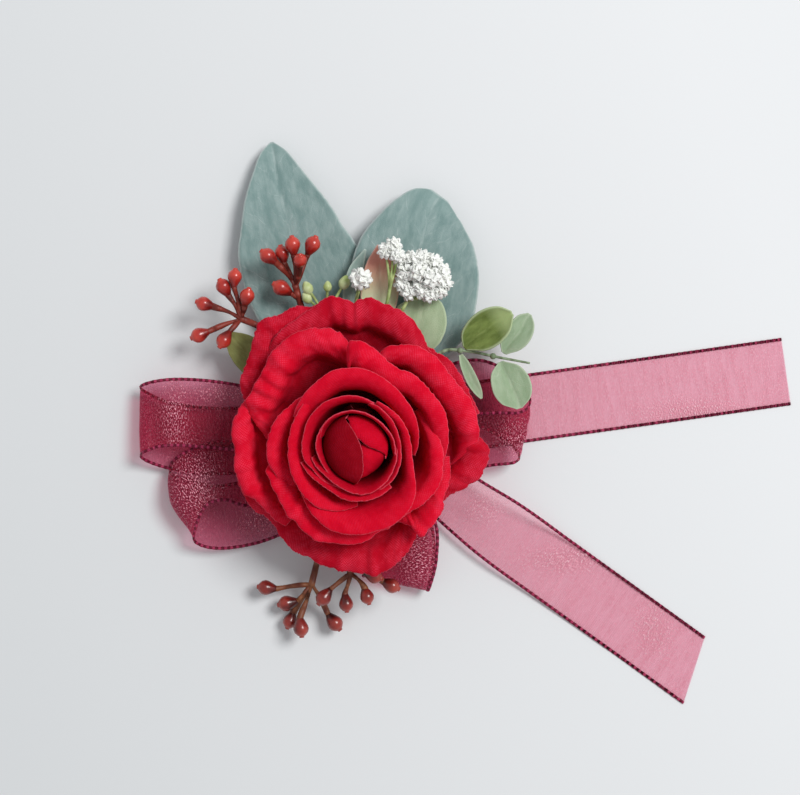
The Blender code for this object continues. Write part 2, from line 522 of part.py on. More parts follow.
FLOWER_WHITE = (0.75, 0.76, 0.72)
flower_spray("filler_flowers_large", 74, 9.0, [
    (4.6, 16.0, 10.8), (8.4, 27.0, 13.0), (12.0, 35.0, 14.8), (15.6, 41.0, 15.6)], [
    ((12.4, 43.4, 16.4), 1.0), ((16.0, 47.4, 17.2), 1.1), ((20.4, 47.6, 16.8), 1.0),
    ((23.6, 44.6, 16.6), 1.0), ((20.2, 42.6, 18.6), 1.1), ((16.0, 41.4, 18.8), 1.0),
    ((13.4, 38.9, 16.4), 0.9), ((20.6, 38.8, 16.6), 1.0), ((12.4, 47.2, 15.8), 0.8)], FLOWER_WHITE)
flower_spray("filler_flowers_small", 87, 10.2, [
    (1.6, 18.0, 11.8), (5.4, 30.0, 14.2), (7.8, 38.0, 16.8), (8.8, 45.0, 18.6)], [
    ((7.4, 50.8, 20.0), 0.8), ((9.8, 52.4, 19.6), 0.8), ((10.2, 49.2, 20.0), 0.75)], FLOWER_WHITE)
flower_spray("filler_flower_single", 100, 9.0, [
    (-1.6, 17.0, 10.8), (-2.0, 28.0, 12.6), (-1.6, 36.0, 14.2), (-0.6, 40.6, 15.4)], [
    ((0.0, 43.6, 17.2), 1.0)], FLOWER_WHITE)
flower_spray("bud_spray", 122, 9.6, [
    (-5.2, 16.0, 11.0), (-8.6, 26.0, 12.4), (-10.6, 33.0, 13.0), (-12.0, 36.6, 13.4)], [
    ((-4.8, 42.6, 14.0), 0.62), ((-15.4, 40.8, 14.4), 0.6), ((-15.6, 38.2, 13.8), 0.5),
    ((-9.6, 41.2, 15.0), 0.5)], (0.5, 0.6, 0.3))
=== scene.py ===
"""Wrist corsage with its finished surfaces: a cloth rose on a felt pad, with leaves, berries,
filler flowers and an organza bow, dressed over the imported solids."""

import math

import bmesh
import bpy
import numpy as np
from mathutils import Matrix, Vector, noise


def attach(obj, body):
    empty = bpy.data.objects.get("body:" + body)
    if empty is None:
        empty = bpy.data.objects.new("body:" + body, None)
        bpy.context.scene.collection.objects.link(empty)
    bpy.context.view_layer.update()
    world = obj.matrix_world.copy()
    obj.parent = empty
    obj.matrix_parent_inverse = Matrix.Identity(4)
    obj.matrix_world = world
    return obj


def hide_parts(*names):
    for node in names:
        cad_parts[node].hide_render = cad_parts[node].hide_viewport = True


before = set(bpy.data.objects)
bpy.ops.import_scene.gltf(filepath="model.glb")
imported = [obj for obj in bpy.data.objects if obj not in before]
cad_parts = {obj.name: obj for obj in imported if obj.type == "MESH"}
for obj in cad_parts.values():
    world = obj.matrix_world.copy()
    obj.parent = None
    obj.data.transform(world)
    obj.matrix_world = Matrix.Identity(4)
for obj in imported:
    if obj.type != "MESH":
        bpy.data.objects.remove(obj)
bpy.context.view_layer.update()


# --- Studio -------------------------------------------------------------------------------------
# A sheet of matt pale card under the corsage, one large soft lamp to its right and behind it, an
# even pale room round them, and a camera that looks straight down.
def linear(code):
    """An sRGB hex colour as linear values with an alpha of one."""
    parts = [int(code[k:k + 2], 16) / 255 for k in (1, 3, 5)]
    return (*[p / 12.92 if p <= 0.04045 else ((p + 0.055) / 1.055) ** 2.4 for p in parts], 1.0)


# The output to use, for the kinds of node where it isn't the first one.
MAIN_OUTPUT = {"TexCoord": "Object", "Attribute": "Fac", "TexWave": "Fac", "Mix": "Result"}


def add(tree, kind, values=None, stops=()):
    """Add one node with its settings, values, links and ramp stops, and give its main output.

    A key that names no input is a setting.  Every Mix node here mixes colours.
    """
    node = tree.nodes.new("ShaderNode" + kind)
    if kind == "Mix":
        node.data_type = "RGBA"
    for key, value in (values or {}).items():
        if isinstance(value, bpy.types.NodeSocket):
            tree.links.new(value, node.inputs[key])
        elif isinstance(key, int) or key in node.inputs:
            node.inputs[key].default_value = value
        else:
            setattr(node, key, value)
    for k, (place, code) in enumerate(stops):
        if k == len(node.color_ramp.elements):
            node.color_ramp.elements.new(1.0)
        node.color_ramp.elements[k].position = place
        node.color_ramp.elements[k].color = linear(code)
    return node.outputs[MAIN_OUTPUT.get(kind, 0)] if node.outputs else None


def start_material(name):
    """A new material with an empty node tree."""
    made = bpy.data.materials.new(name)
    made.use_nodes = True
    made.node_tree.nodes.clear()
    return made, made.node_tree


MM = 0.001
FLOOR_SIZE = 3.0
LAMP_PLACE = (1.3, 0.8, 2.2)
LAMP_WIDTH = 1.05
LAMP_POWER = 49.8
ROOM_GLOW = 0.49
CAMERA_PLACE = (0.01117, 0.009555, 0.6)
SENSOR = 36.0
VIEW_WIDTH = 0.2352            # width of floor that the picture takes in

# Matt uncoated card with no gloss.  Its colour is painted lighter towards the upper right and
# darker
# towards the lower left: painted light, for the uneven light across the sheet.
card, tree = start_material("matt_card")
place = add(tree, "TexCoord")
across = add(tree, "SeparateXYZ", {0: place})
lamp_side = add(tree, "Math", {"operation": "MULTIPLY_ADD", 0: across.node.outputs["Y"], 1: 0.4,
    2: across.node.outputs["X"]})
painted_falloff = add(tree, "MapRange", {0: lamp_side, 1: -0.15, 2: 0.14})
shade = add(tree, "ValToRGB", {0: painted_falloff}, [(0.0, "#d8dadb"), (1.0, "#eaebec")])
matt = add(tree, "BsdfPrincipled", {"Base Color": shade, "Roughness": 0.9,
    "Specular IOR Level": 0.1})
add(tree, "OutputMaterial", {"Surface": matt})

shape = bmesh.new()
bmesh.ops.create_grid(shape, x_segments=1, y_segments=1, size=FLOOR_SIZE / 2)
mesh = bpy.data.meshes.new("floor")
shape.to_mesh(mesh)
shape.free()
mesh.materials.append(card)
floor = bpy.data.objects.new("floor", mesh)
bpy.context.scene.collection.objects.link(floor)

room = bpy.data.worlds.new("pale_room")
room.use_nodes = True
bpy.context.scene.world = room
air = room.node_tree.nodes["Background"]
air.inputs["Color"].default_value = linear("#f4f7fa")
air.inputs["Strength"].default_value = ROOM_GLOW

lamp = bpy.data.objects.new("key", bpy.data.lights.new("key", "AREA"))
lamp.location = LAMP_PLACE
lamp.rotation_euler = (-Vector(LAMP_PLACE)).to_track_quat("-Z", "Y").to_euler()
lamp.data.shape = "DISK"
lamp.data.size = LAMP_WIDTH
lamp.data.energy = LAMP_POWER
bpy.context.scene.collection.objects.link(lamp)

camera = bpy.data.objects.new("camera", bpy.data.cameras.new("camera"))
camera.location = CAMERA_PLACE
camera.data.sensor_width = SENSOR
camera.data.lens = SENSOR * CAMERA_PLACE[2] / VIEW_WIDTH
camera.data.clip_start = 0.01
bpy.context.scene.collection.objects.link(camera)
bpy.context.scene.camera = camera
bpy.context.scene.view_settings.view_transform = "Standard"


# --- Felt backing -------------------------------------------------------------------------------
# A die-cut disc of pressed green wool felt that lies on the wrist; everything is glued over it.
# Felt is a mat of fine fibres with no thread, dull and slightly mottled, with a softened edge.
FELT_RADIUS = 23.0
FELT_HEIGHT = 1.6
FELT_EDGE = 0.5                # radius of the softened edge
FELT_WOBBLE = 0.006            # how far the edge strays from a circle, as a share


def finish(name, shape, material, slot, *nodes):
    """Turn a bmesh in millimetres into a piece in metres that stands for its CAD nodes."""
    bmesh.ops.scale(shape, vec=(MM, MM, MM), verts=shape.verts)
    made = bpy.data.meshes.new(name)
    shape.to_mesh(made)
    shape.free()
    for face in made.polygons:
        face.use_smooth = True
    made.materials.append(material)
    piece = bpy.data.objects.new(name, made)
    bpy.context.scene.collection.objects.link(piece)
    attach(piece, "root")
    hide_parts(*nodes)
    return piece


def join(name, shape, material, slot, *nodes):
    """Finish a piece that was built in parts, with its faces made to agree."""
    bmesh.ops.recalc_face_normals(shape, faces=shape.faces)
    return finish(name, shape, material, slot, *nodes)


def spin(shape, outline, steps):
    """Turn a line of (radius, height) points, pole to pole, round the vertical axis."""
    points = [shape.verts.new((r, 0.0, z)) for r, z in outline]
    edges = [shape.edges.new(pair) for pair in zip(points, points[1:])]
    bmesh.ops.spin(shape, geom=points + edges, cent=(0, 0, 0), axis=(0, 0, 1),
                   angle=2 * math.pi, steps=steps, use_merge=True)
    bmesh.ops.remove_doubles(shape, verts=shape.verts, dist=0.0001)
    bmesh.ops.recalc_face_normals(shape, faces=shape.faces)


felt, tree = start_material("pressed_wool_felt")
place = add(tree, "TexCoord")
fibre = add(tree, "TexNoise", {"Vector": place, "Scale": 1400.0, "Detail": 6.0, "Roughness": 0.75,
    "Distortion": 1.2})
mottle = add(tree, "TexNoise", {"Vector": place, "Scale": 180.0, "Detail": 2.0})
tufts = add(tree, "Math", {"operation": "MULTIPLY_ADD", 0: fibre, 1: 0.7, 2: mottle})
shade = add(tree, "ValToRGB", {0: tufts}, [(0.55, "#2c4a30"), (0.85, "#3f6243"),
    (1.0, "#6b8768")])
relief = add(tree, "Bump", {"Strength": 0.7, "Distance": 0.0003, "Height": fibre})
wool = add(tree, "BsdfPrincipled", {"Base Color": shade, "Roughness": 0.95,
    "Specular IOR Level": 0.1, "Sheen Weight": 0.3, "Sheen Roughness": 0.6, "Normal": relief})
add(tree, "OutputMaterial", {"Surface": wool})

shape = bmesh.new()
lower = [(0, 0), (FELT_RADIUS * 0.5, 0), (FELT_RADIUS - FELT_EDGE, 0),
         (FELT_RADIUS - 0.3 * FELT_EDGE, 0.3 * FELT_EDGE), (FELT_RADIUS, FELT_EDGE)]
spin(shape, lower + [(r, FELT_HEIGHT - z) for r, z in reversed(lower)], steps=96)
for vert in shape.verts:
    if vert.co.xy.length > FELT_RADIUS - 1:
        vert.co.xy *= 1 + FELT_WOBBLE * noise.noise(vert.co * 0.9)
finish("felt_pad", shape, felt, "backing_felt", "felt_backing")


# --- Stem bundle --------------------------------------------------------------------------------
# The cut stalks are gathered and wound with waxed crepe floral tape, lap over lap, from the felt
# up to the rose.  The crepe is matt with fine lengthwise wrinkles and a slight waxy gleam.
HUB_RADIUS = 6.5
HUB_BOTTOM = 1.9
HUB_TOP = 11.8
TAPE_LAPS = 5
TAPE_TIP = 0.35

tape, tree = start_material("waxed_crepe_tape")
place = add(tree, "TexCoord")
stretched = add(tree, "Mapping", {"Vector": place, "Scale": (900.0, 900.0, 130.0)})
crepe = add(tree, "TexNoise", {"Vector": stretched, "Scale": 1.0, "Detail": 4.0,
    "Roughness": 0.6})
shade = add(tree, "ValToRGB", {0: crepe}, [(0.3, "#2f4a22"), (0.6, "#466a30"), (0.8, "#5f8443")])
relief = add(tree, "Bump", {"Strength": 0.6, "Distance": 0.0002, "Height": crepe})
waxed = add(tree, "BsdfPrincipled", {"Base Color": shade, "Roughness": 0.55,
    "Specular IOR Level": 0.4, "Normal": relief})
add(tree, "OutputMaterial", {"Surface": waxed})

lap = (HUB_TOP - HUB_BOTTOM - 1.2) / TAPE_LAPS
outline = [(0, HUB_BOTTOM), (HUB_RADIUS - 0.7, HUB_BOTTOM)]
for k in range(TAPE_LAPS):
    foot = HUB_BOTTOM + 0.4 + k * lap
    outline += [(HUB_RADIUS - 0.35, foot), (HUB_RADIUS, foot + 0.25),
                (HUB_RADIUS - 0.12, foot + lap * 0.6)]
outline += [(HUB_RADIUS - 0.8, HUB_TOP), (0, HUB_TOP)]
shape = bmesh.new()
spin(shape, outline, steps=48)
# The laps climb as a spiral, so each ring of the winding is tipped a little.
for vert in shape.verts:
    if HUB_BOTTOM + 0.3 < vert.co.z < HUB_TOP - 0.9:
        vert.co.z += TAPE_TIP * math.sin(math.atan2(vert.co.y, vert.co.x))
finish("taped_stems", shape, tape, "floral_tape", "stem_bundle")


# --- Binding wire -------------------------------------------------------------------------------
# Two turns of lacquered steel florist's wire are pulled tight round the top of the bundle and
# their ends twisted together.  Smooth drawn wire with a thin green lacquer.
WIRE_RADIUS = 0.3
WIRE_RING = 7.15
WIRE_HEIGHT = 11.3
WIRE_TURN = 12.6               # how far the wire is wound, in radians
WIRE_TWIST_RADIUS = 0.22


def sweep(shape, path, size, sides=8, flatten=None):
    """Draw a round section along a path; sizes are radii, one for all or one for each point.

    With flatten, a direction for each point and a share, the section is thinner along it.
    """
    path = np.array(path, dtype=float)
    sizes = [float(x) for x in np.broadcast_to(size, len(path))]
    heading = np.gradient(path, axis=0)
    run = np.concatenate([[0.0], np.cumsum(np.linalg.norm(np.diff(path, axis=0), axis=1))])
    along = shape.verts.layers.float.get("along") or shape.verts.layers.float.new("along")
    turns = [2 * math.pi * n / sides for n in range(sides)]
    ring = bmesh.ops.create_circle(shape, cap_ends=True, segments=sides, radius=1.0)["verts"]
    cap = ring[0].link_faces[0]
    seen = Vector((0.0, 0.0, 1.0))
    for k, centre in enumerate(path):
        if k:
            made = bmesh.ops.extrude_face_region(shape, geom=[cap])["geom"]
            cap = next(g for g in made if isinstance(g, bmesh.types.BMFace))
        ahead = Vector(heading[k]).normalized()
        if flatten is not None:
            seen = Vector(flatten[0][k])
        elif k == 0 and abs(ahead.z) > 0.9:
            seen = Vector((1.0, 0.0, 0.0))
        lift = (seen - ahead * seen.dot(ahead)).normalized()
        seen = lift
        side = ahead.cross(lift)
        thin = flatten[1] if flatten is not None else 1.0
        for vert, turn in zip(cap.verts, turns):
            vert.co = Vector(centre) + sizes[k] * (math.cos(turn) * side
                                                   + thin * math.sin(turn) * lift)
            vert[along] = float(run[k])


lacquer, tree = start_material("lacquered_steel_wire")
place = add(tree, "TexCoord")
wear = add(tree, "TexNoise", {"Vector": place, "Scale": 900.0, "Detail": 3.0})
shade = add(tree, "ValToRGB", {0: wear}, [(0.4, "#2e4a2c"), (0.62, "#4a6b44"), (0.7, "#8b8f88")])
coated = add(tree, "BsdfPrincipled", {"Base Color": shade, "Roughness": 0.32, "Metallic": 0.35})
add(tree, "OutputMaterial", {"Surface": coated})

shape = bmesh.new()
winding = [(WIRE_RING * math.cos(a), WIRE_RING * math.sin(a),
            WIRE_HEIGHT - 0.3 + 0.6 * a / WIRE_TURN) for a in np.linspace(0.0, WIRE_TURN, 97)]
sweep(shape, winding, WIRE_RADIUS)
for phase in (0.0, math.pi):
    sweep(shape, [(WIRE_RING + 0.2 + 0.25 * math.cos(6.0 * s + phase), -0.4 - 4.2 * s,
                   WIRE_HEIGHT + 0.25 * math.sin(6.0 * s + phase))
                  for s in np.linspace(0.0, 1.0, 25)], WIRE_TWIST_RADIUS, 6)
join("bound_wire", shape, lacquer, "binding_wire", "binding_wire")


# --- Organza ribbon -----------------------------------------------------------------------------
# Sheer wine-red nylon organza, 20 mm wide, woven from single bright filaments with a corded
# edge of thicker maroon thread.  Four loops and two cut tails are pinched into the bundle.
RIBBON_WIDTH = 20.0
RIBBON_THICKNESS = 0.16
SQUARING = 0.45                # how far a ribbon's width is turned square to its run
HALF = RIBBON_WIDTH / 2
GATHER = 2.3                   # half width where a ribbon is pinched
ROOT = HUB_RADIUS + 0.4        # where stalks and ribbons meet the bundle
CORD_HALF = 0.45               # half width of the corded edge
STITCH = 1.76                  # spacing of the edge's overcast stitches
FILAMENT = 0.55                # spacing of the drawn filaments
PLEAT = 0.9                    # depth of the pleats where a ribbon is pinched
RIPPLE = 0.16                  # height of the ripples where it isn't
SLANT_RUN = 8                  # length of ribbon over which a slant end is drawn askew
RIBBON_ROWS = 241
RIBBON_COLUMNS = 28
LOWEST = 0.12                  # nothing of a band lies lower than this
CORD_LOWEST = 0.3              # and nothing of the middle of its corded edge than this
CORD_FLATNESS = 0.6


def smooth_path(stations, count):
    """Evenly spaced rows along a smooth curve through the stations; columns 0-2 are a place."""
    knots = np.array(stations, dtype=float)
    padded = np.vstack([2 * knots[0] - knots[1], knots, 2 * knots[-1] - knots[-2]])
    rows = []
    for k in range(len(knots) - 1):
        a, b, c, d = padded[k:k + 4]
        for u in np.linspace(0.0, 1.0, 12, endpoint=False):
            rows.append(0.5 * (2 * b + (c - a) * u + (2 * a - 5 * b + 4 * c - d) * u ** 2
                               + (3 * b - a - 3 * c + d) * u ** 3))
    rows.append(knots[-1])
    rows = np.array(rows)
    steps = np.linalg.norm(np.diff(rows[:, :3], axis=0), axis=1)
    run = np.concatenate([[0.0], np.cumsum(steps)])
    even = np.linspace(0.0, run[-1], count)
    return np.stack([np.interp(even, run, rows[:, c]) for c in range(rows.shape[1])], axis=1)


def polar(azimuth, radius, height):
    """A point from its direction in degrees, its distance from the axis and its height."""
    turn = math.radians(azimuth)
    return (radius * math.cos(turn), radius * math.sin(turn), height)


def drift(x, y, seed):
    """Smooth noise in -1..1 over two arrays."""
    return np.array([noise.noise((a, b, seed)) for a, b in zip(x, y)])


def cloth(name, columns, rows, form, thickness, material, slot, *nodes):
    """A thin sheet: form turns arrays of t (-1..1 across) and s (0..1 along) into places,
    flat coordinates in millimetres and a dict of values for the surface."""
    shape = bmesh.new()
    bmesh.ops.create_grid(shape, x_segments=columns, y_segments=rows, size=1.0)
    shape.verts.ensure_lookup_table()
    spots = np.array([vert.co[:2] for vert in shape.verts])
    places, flat, values = form(spots[:, 0], (spots[:, 1] + 1) / 2)
    layers = {key: shape.verts.layers.float.new(key) for key in values}
    for k, vert in enumerate(shape.verts):
        vert.co = places[k]
        for key, layer in layers.items():
            vert[layer] = float(values[key][k])
    uv = shape.loops.layers.uv.new("cut")
    for face in shape.faces:
        for loop in face.loops:
            loop[uv].uv = flat[loop.vert.index]
    piece = finish(name, shape, material, slot, *nodes)
    wall = piece.modifiers.new("wall", "SOLIDIFY")
    wall.thickness = thickness * MM
    wall.offset = 0.0
    return piece


# Organza: light passes between the filaments and is dyed by them.  Real filaments lie 0.2 mm
# apart, drawn here at 0.55 mm so that they show as fine crosswise lines.  Their glints are
# painted: the palest filament colour and the sparkles that thicken the cover, a little everywhere
# and most in the patches listed below.
def organza(name, tint, thin, dense, threads, spark):
    """Sheer cloth: the tint of the light it passes, its cover, its filaments' colours (the palest
    a painted glint) and the strength of its painted sparkles.
    """
    made, tree = start_material(name)
    flat = add(tree, "UVMap", {"uv_map": "cut"})
    drawn = add(tree, "Mapping", {"Vector": flat, "Scale": (0.13, 1.0, 1.0)})
    streak = add(tree, "TexNoise", {"Vector": drawn, "Scale": 0.75, "Detail": 4.0,
        "Roughness": 0.72, "Distortion": 0.9})
    weft = add(tree, "TexWave", {"bands_direction": "Y", "Vector": flat,
        "Scale": 2 * math.pi / (20 * FILAMENT), "Distortion": 1.6, "Detail": 2.0,
        "Detail Scale": 0.3})
    fine = add(tree, "Mapping", {"Vector": flat, "Scale": (1.5, 3.6, 1.0)})
    glint = add(tree, "TexNoise", {"Vector": fine, "Scale": 1.0, "Detail": 1.0})
    cover = add(tree, "MapRange", {0: streak, 1: 0.36, 2: 0.66, 3: thin, 4: dense})
    cover_woven = add(tree, "Math", {"operation": "MULTIPLY_ADD", 0: weft, 1: 0.05, 2: cover})
    # Painted sparkle: where the fine noise peaks, the cover thickens, most in the glint patches.
    bright = add(tree, "MapRange", {0: glint, 1: 0.46, 2: 0.6, 3: 0.0, 4: spark})
    painted_glint = add(tree, "Attribute", {"attribute_name": "painted_glint"})
    sparkle = add(tree, "Math", {"operation": "MULTIPLY", 0: bright, 1: painted_glint})
    cover_glinting = add(tree, "Math", {"operation": "MAXIMUM", 0: cover_woven, 1: sparkle})
    thread = add(tree, "ValToRGB", {0: glint}, list(zip((0.4, 0.58, 0.7), threads)))
    relief = add(tree, "Bump", {"Strength": 0.6, "Distance": 0.0002, "Height": glint})
    clear = add(tree, "BsdfTransparent", {"Color": tint})
    filament = add(tree, "BsdfPrincipled", {"Base Color": thread, "Roughness": 0.4,
        "Specular IOR Level": 0.5, "Sheen Weight": 0.2, "Normal": relief})
    sheer = add(tree, "MixShader", {0: cover_glinting, 1: clear, 2: filament})
    add(tree, "OutputMaterial", {"Surface": sheer})
    return made


# The loops and the tails are one organza.  The loops get a darker, more deeply tinted copy:
# painted shade, for the layered loops in their own and the rose's shadow; the flat tails get the
# lighter copy.
shaded_loop_organza = organza("nylon_organza_loops_painted_shade", (0.925, 0.575, 0.68, 1.0), 0.04, 0.17,
                          ("#7a1632", "#bc4c68", "#f6b4c2"), 1.0)
flat_organza = organza("flat_nylon_organza", (0.99, 0.828, 0.872, 1.0), 0.03, 0.17,
                       ("#d9788f", "#efa6b6", "#ffe6ec"), 0.55)

# Corded edge: satiny maroon overcast stitches with the pinker ground thread between them.
corded, tree = start_material("overcast_edge_thread")
along = add(tree, "Attribute", {"attribute_name": "along"})
phase = add(tree, "Math", {"operation": "MULTIPLY", 0: along, 1: 2 * math.pi / STITCH})
stitch = add(tree, "Math", {"operation": "SINE", 0: phase})
shade = add(tree, "MapRange", {0: stitch, 1: -0.6, 2: 0.2})
thread = add(tree, "ValToRGB", {0: shade}, [(0.0, "#a43256"), (1.0, "#65102a")])
satin = add(tree, "BsdfPrincipled", {"Base Color": thread, "Roughness": 0.5,
    "Specular IOR Level": 0.2})
add(tree, "OutputMaterial", {"Surface": satin})


def root_at(azimuth, height, facing):
    """The station where a ribbon meets the bundle."""
    return (*polar(azimuth, ROOT + 0.1, height), GATHER, facing, 0)


# Patches of painted glint, where the filaments are drawn sparkling: (x, y) and the reach of the
# patch in x and y.
GLINT_PATCHES = [(-54.0, 5.5, 3.2, 9.0), (-47.7, -16.0, 7.0, 9.0), (-30.0, -26.0, 6.0, 5.0),
          (17.5, -38.0, 5.0, 8.0), (44.0, -2.5, 4.0, 5.0), (-36.0, 11.0, 12.0, 2.5),
          (86.0, -58.5, 6.0, 9.0), (36.0, -22.0, 6.0, 5.0), (98.0, 5.0, 16.0, 4.0),
          (60.0, -38.0, 14.0, 4.0)]


def at(table, row):
    """Rows of a table, with the values between whole rows."""
    return np.stack([np.interp(row, np.arange(len(table)), column) for column in table.T], axis=1)


def ribbon(name, stations, weave, seed, slant=0.0):
    """A length of ribbon through stations of (x, y, z, half width, facing, tilt), with its edges.

    The facing is the direction of the band's width in plan, the tilt how far that width rises.
    A seventh value tells how far the band bellies to one side between its edges.  A slant cuts
    the last end askew by that much on either side.
    """
    path = smooth_path([(*row, 0)[:7] for row in stations], RIBBON_ROWS)
    tangent = np.gradient(path[:, :3], axis=0)
    step = np.linalg.norm(tangent, axis=1, keepdims=True)
    length = float(step.sum() - (step[0] + step[-1]) / 2)
    tangent /= step
    facing = np.radians(path[:, 4])
    tilt = np.radians(path[:, 5])
    width = np.stack([np.cos(facing) * np.cos(tilt), np.sin(facing) * np.cos(tilt),
                      np.sin(tilt)], axis=1)
    width -= SQUARING * tangent * np.sum(width * tangent, axis=1, keepdims=True)
    width /= np.linalg.norm(width, axis=1, keepdims=True)
    normal = np.cross(width, tangent)
    normal /= np.linalg.norm(normal, axis=1, keepdims=True)

    def form(t, s):
        row = s * (RIBBON_ROWS - 1)
        middle = at(path, row)
        half = middle[:, 3]
        tuck = 1 - half / HALF
        pleat = PLEAT * tuck * np.sin(9.5 * t + seed)
        wave = RIPPLE * drift(2.2 * t, s * length / 9.0, seed) * (1 - tuck)
        spot = middle[:, :3] + at(width, row) * (half * t)[:, None]
        belly = middle[:, 6] * (1 - t * t)
        spot += at(normal, row) * (pleat + wave + belly)[:, None]
        askew = np.clip(s * length - length + SLANT_RUN, 0, SLANT_RUN) / SLANT_RUN
        spot += (tangent[-1] * slant)[None, :] * (t * askew)[:, None]
        spot[:, 2] = np.maximum(spot[:, 2], LOWEST)
        # Painted glint: a little everywhere, most in the patches listed above.
        painted_glint = 0.1 + 0 * t
        for x, y, wide, high in GLINT_PATCHES:
            painted_glint += np.exp(-((spot[:, 0] - x) / wide) ** 2 - ((spot[:, 1] - y) / high) ** 2)
        return spot, np.stack([HALF * t, s * length], axis=1), {"painted_glint": painted_glint}

    band = cloth(name + "_organza", RIBBON_COLUMNS, RIBBON_ROWS - 1, form, RIBBON_THICKNESS,
                 weave, "organza", name)
    shape = bmesh.new()
    s = np.linspace(0.0, 1.0, RIBBON_ROWS)
    swell = CORD_HALF * (1 + 0.12 * np.sin(2 * math.pi * s * length / STITCH))
    for sign in (-1, 1):
        edge, _, _ = form(sign * (1 - CORD_HALF / path[:, 3]), s)
        edge[:, 2] = np.maximum(edge[:, 2], CORD_LOWEST)
        sweep(shape, edge, swell, 8, (normal, CORD_FLATNESS))
    edging = join(name + "_edging", shape, corded, "organza", name)


ribbon("bow_loop_left_upper", [
    root_at(178, 3.5, 90), (-16, -0.8, 3.2, 6, 90, 0), (-27, -2.4, 3, 9.4, 90, 0),
    (-42, -3.2, 2.6, HALF, 91, 0), (-53, -2.2, 3, HALF, 92, 0),
    (-60.2, -0.2, 4.2, 9.8, 92, 0, -0.9), (-63, 2, 6.2, 9.6, 91, 0, -1.6),
    (-61.6, 4.2, 8.2, 9.8, 89, 0, -1), (-54, 5.3, 8.8, HALF, 87, 0), (-42, 4.5, 8.4, HALF, 86, 0),
    (-29, 2.6, 7.4, 9.2, 88, 0), (-16, 1.2, 6.4, 6, 88, 0),
    root_at(176, 5.5, 88)], shaded_loop_organza, 1.0)

ribbon("bow_loop_left_lower", [
    root_at(223, 4.2, 290), (-15.8, -18, 3.7, 8.3, 255, 1),
    (-23.5, -21, 3.6, 9.5, 261, 1), (-33, -24.1, 3.8, 9.6, 276, 2),
    (-42.6, -25.4, 4.2, 9.6, 285, 5, 0.6), (-48.7, -23.6, 4.9, 9.6, 289, 7, 2.4),
    (-51.1, -20.2, 6.3, 9.3, 293, 11, 4.4), (-50.5, -16.4, 7.9, 9.2, 293, 13, 3.6),
    (-46.3, -13.1, 9, 8.9, 288, 16, 1.6), (-39.5, -11.6, 9.0, 9.2, 278, 16, 0.4),
    (-31.2, -13.2, 8.0, 9.4, 265, 13), (-21.6, -12.6, 6.9, 8.6, 257, 8),
    root_at(212, 5.6, 285)], shaded_loop_organza, 2.0)

ribbon("bow_loop_right", [
    root_at(10, 3.7, 100), (15.8, 3, 4.2, 7.1, 100, 0), (25.2, 8, 5.1, HALF, 100, 1),
    (33.2, 10.9, 5.4, 10.1, 100, 2), (40.3, 8.3, 5.7, 9.9, 94, 3),
    (45.1, 4.7, 6.5, 9.3, 88, 6, 0.6), (46.8, 0.5, 8.7, 8.2, 80, 11, 1.2),
    (44.9, -2, 10.5, 8.2, 77, 18, 0.8), (39.4, -2.4, 10.8, 8.6, 78, 21),
    (31.5, -2.9, 10.4, 8.8, 80, 20), (22, -1.1, 9.8, 7.9, 82, 16), root_at(2, 7.8, 91)],
    shaded_loop_organza, 3.0)

ribbon("bow_loop_bottom", [
    root_at(-68, 3.9, 22), (6.6, -17, 4.2, 6, 18, 0), (10.4, -27, 3.8, 9.6, 8, 0),
    (11.6, -35, 2.6, HALF, -4, 0), (10.6, -41.4, 2.6, HALF, -10, 0),
    (9.8, -44.6, 5.0, HALF, -13, 0), (10.6, -42.8, 8.2, HALF, -10, 0),
    (12.2, -36, 9.6, HALF, -2, 0), (12.0, -27, 9.6, 9.6, 6, 0), (8.0, -17, 8.8, 6, 16, 0),
    root_at(-66, 7.6, 22)], shaded_loop_organza, 4.0)

ribbon("ribbon_tail_right", [
    root_at(8, 2.3, 98), (14, 1.6, 2.2, 5, 98, 0), (24.5, 3.0, 2.1, 9, 98, 0),
    (34, 4.4, 1.4, HALF, 98, 0), (48, 6.4, 0.4, HALF, 98, 0), (86, 11.7, 0.3, HALF, 98, 0),
    (124.6, 17.2, 0.3, HALF, 98, 0)], flat_organza, 5.0)

ribbon("ribbon_tail_lower", [
    root_at(-36, 2.3, 54), (12, -8.6, 2.3, 4.6, 54, 0), (22, -15.8, 2.8, 7.6, 54, 4),
    (32, -23.2, 5.2, 9.2, 54, 10), (42, -30.4, 4.4, HALF, 54.5, 6),
    (56, -40.6, 1.4, HALF, 54.5, 0), (76, -55, 0.4, HALF, 54.5, 0),
    (97.6, -70.6, 0.3, HALF, 54.5, 0)], flat_organza, 6.0, slant=-3.2)


# --- Leaves -------------------------------------------------------------------------------------
# Artificial eucalyptus and rose leaves: polyester cloth, printed, veined by a hot press and
# dusted with a pale flock, which makes them chalky and mottled with lighter edges.
LEAF_THICKNESS = 0.4
LEAF_COLUMNS = 24
LEAF_ROWS = 90
LEAF_STATIONS = 61             # evenly spaced places along a leaf's spine
LEAF_JAG = 0.012               # unevenness of the cut edge, as a share of the width
MIDRIB_DEPTH = 0.28
MIDRIB_WIDTH = 0.7


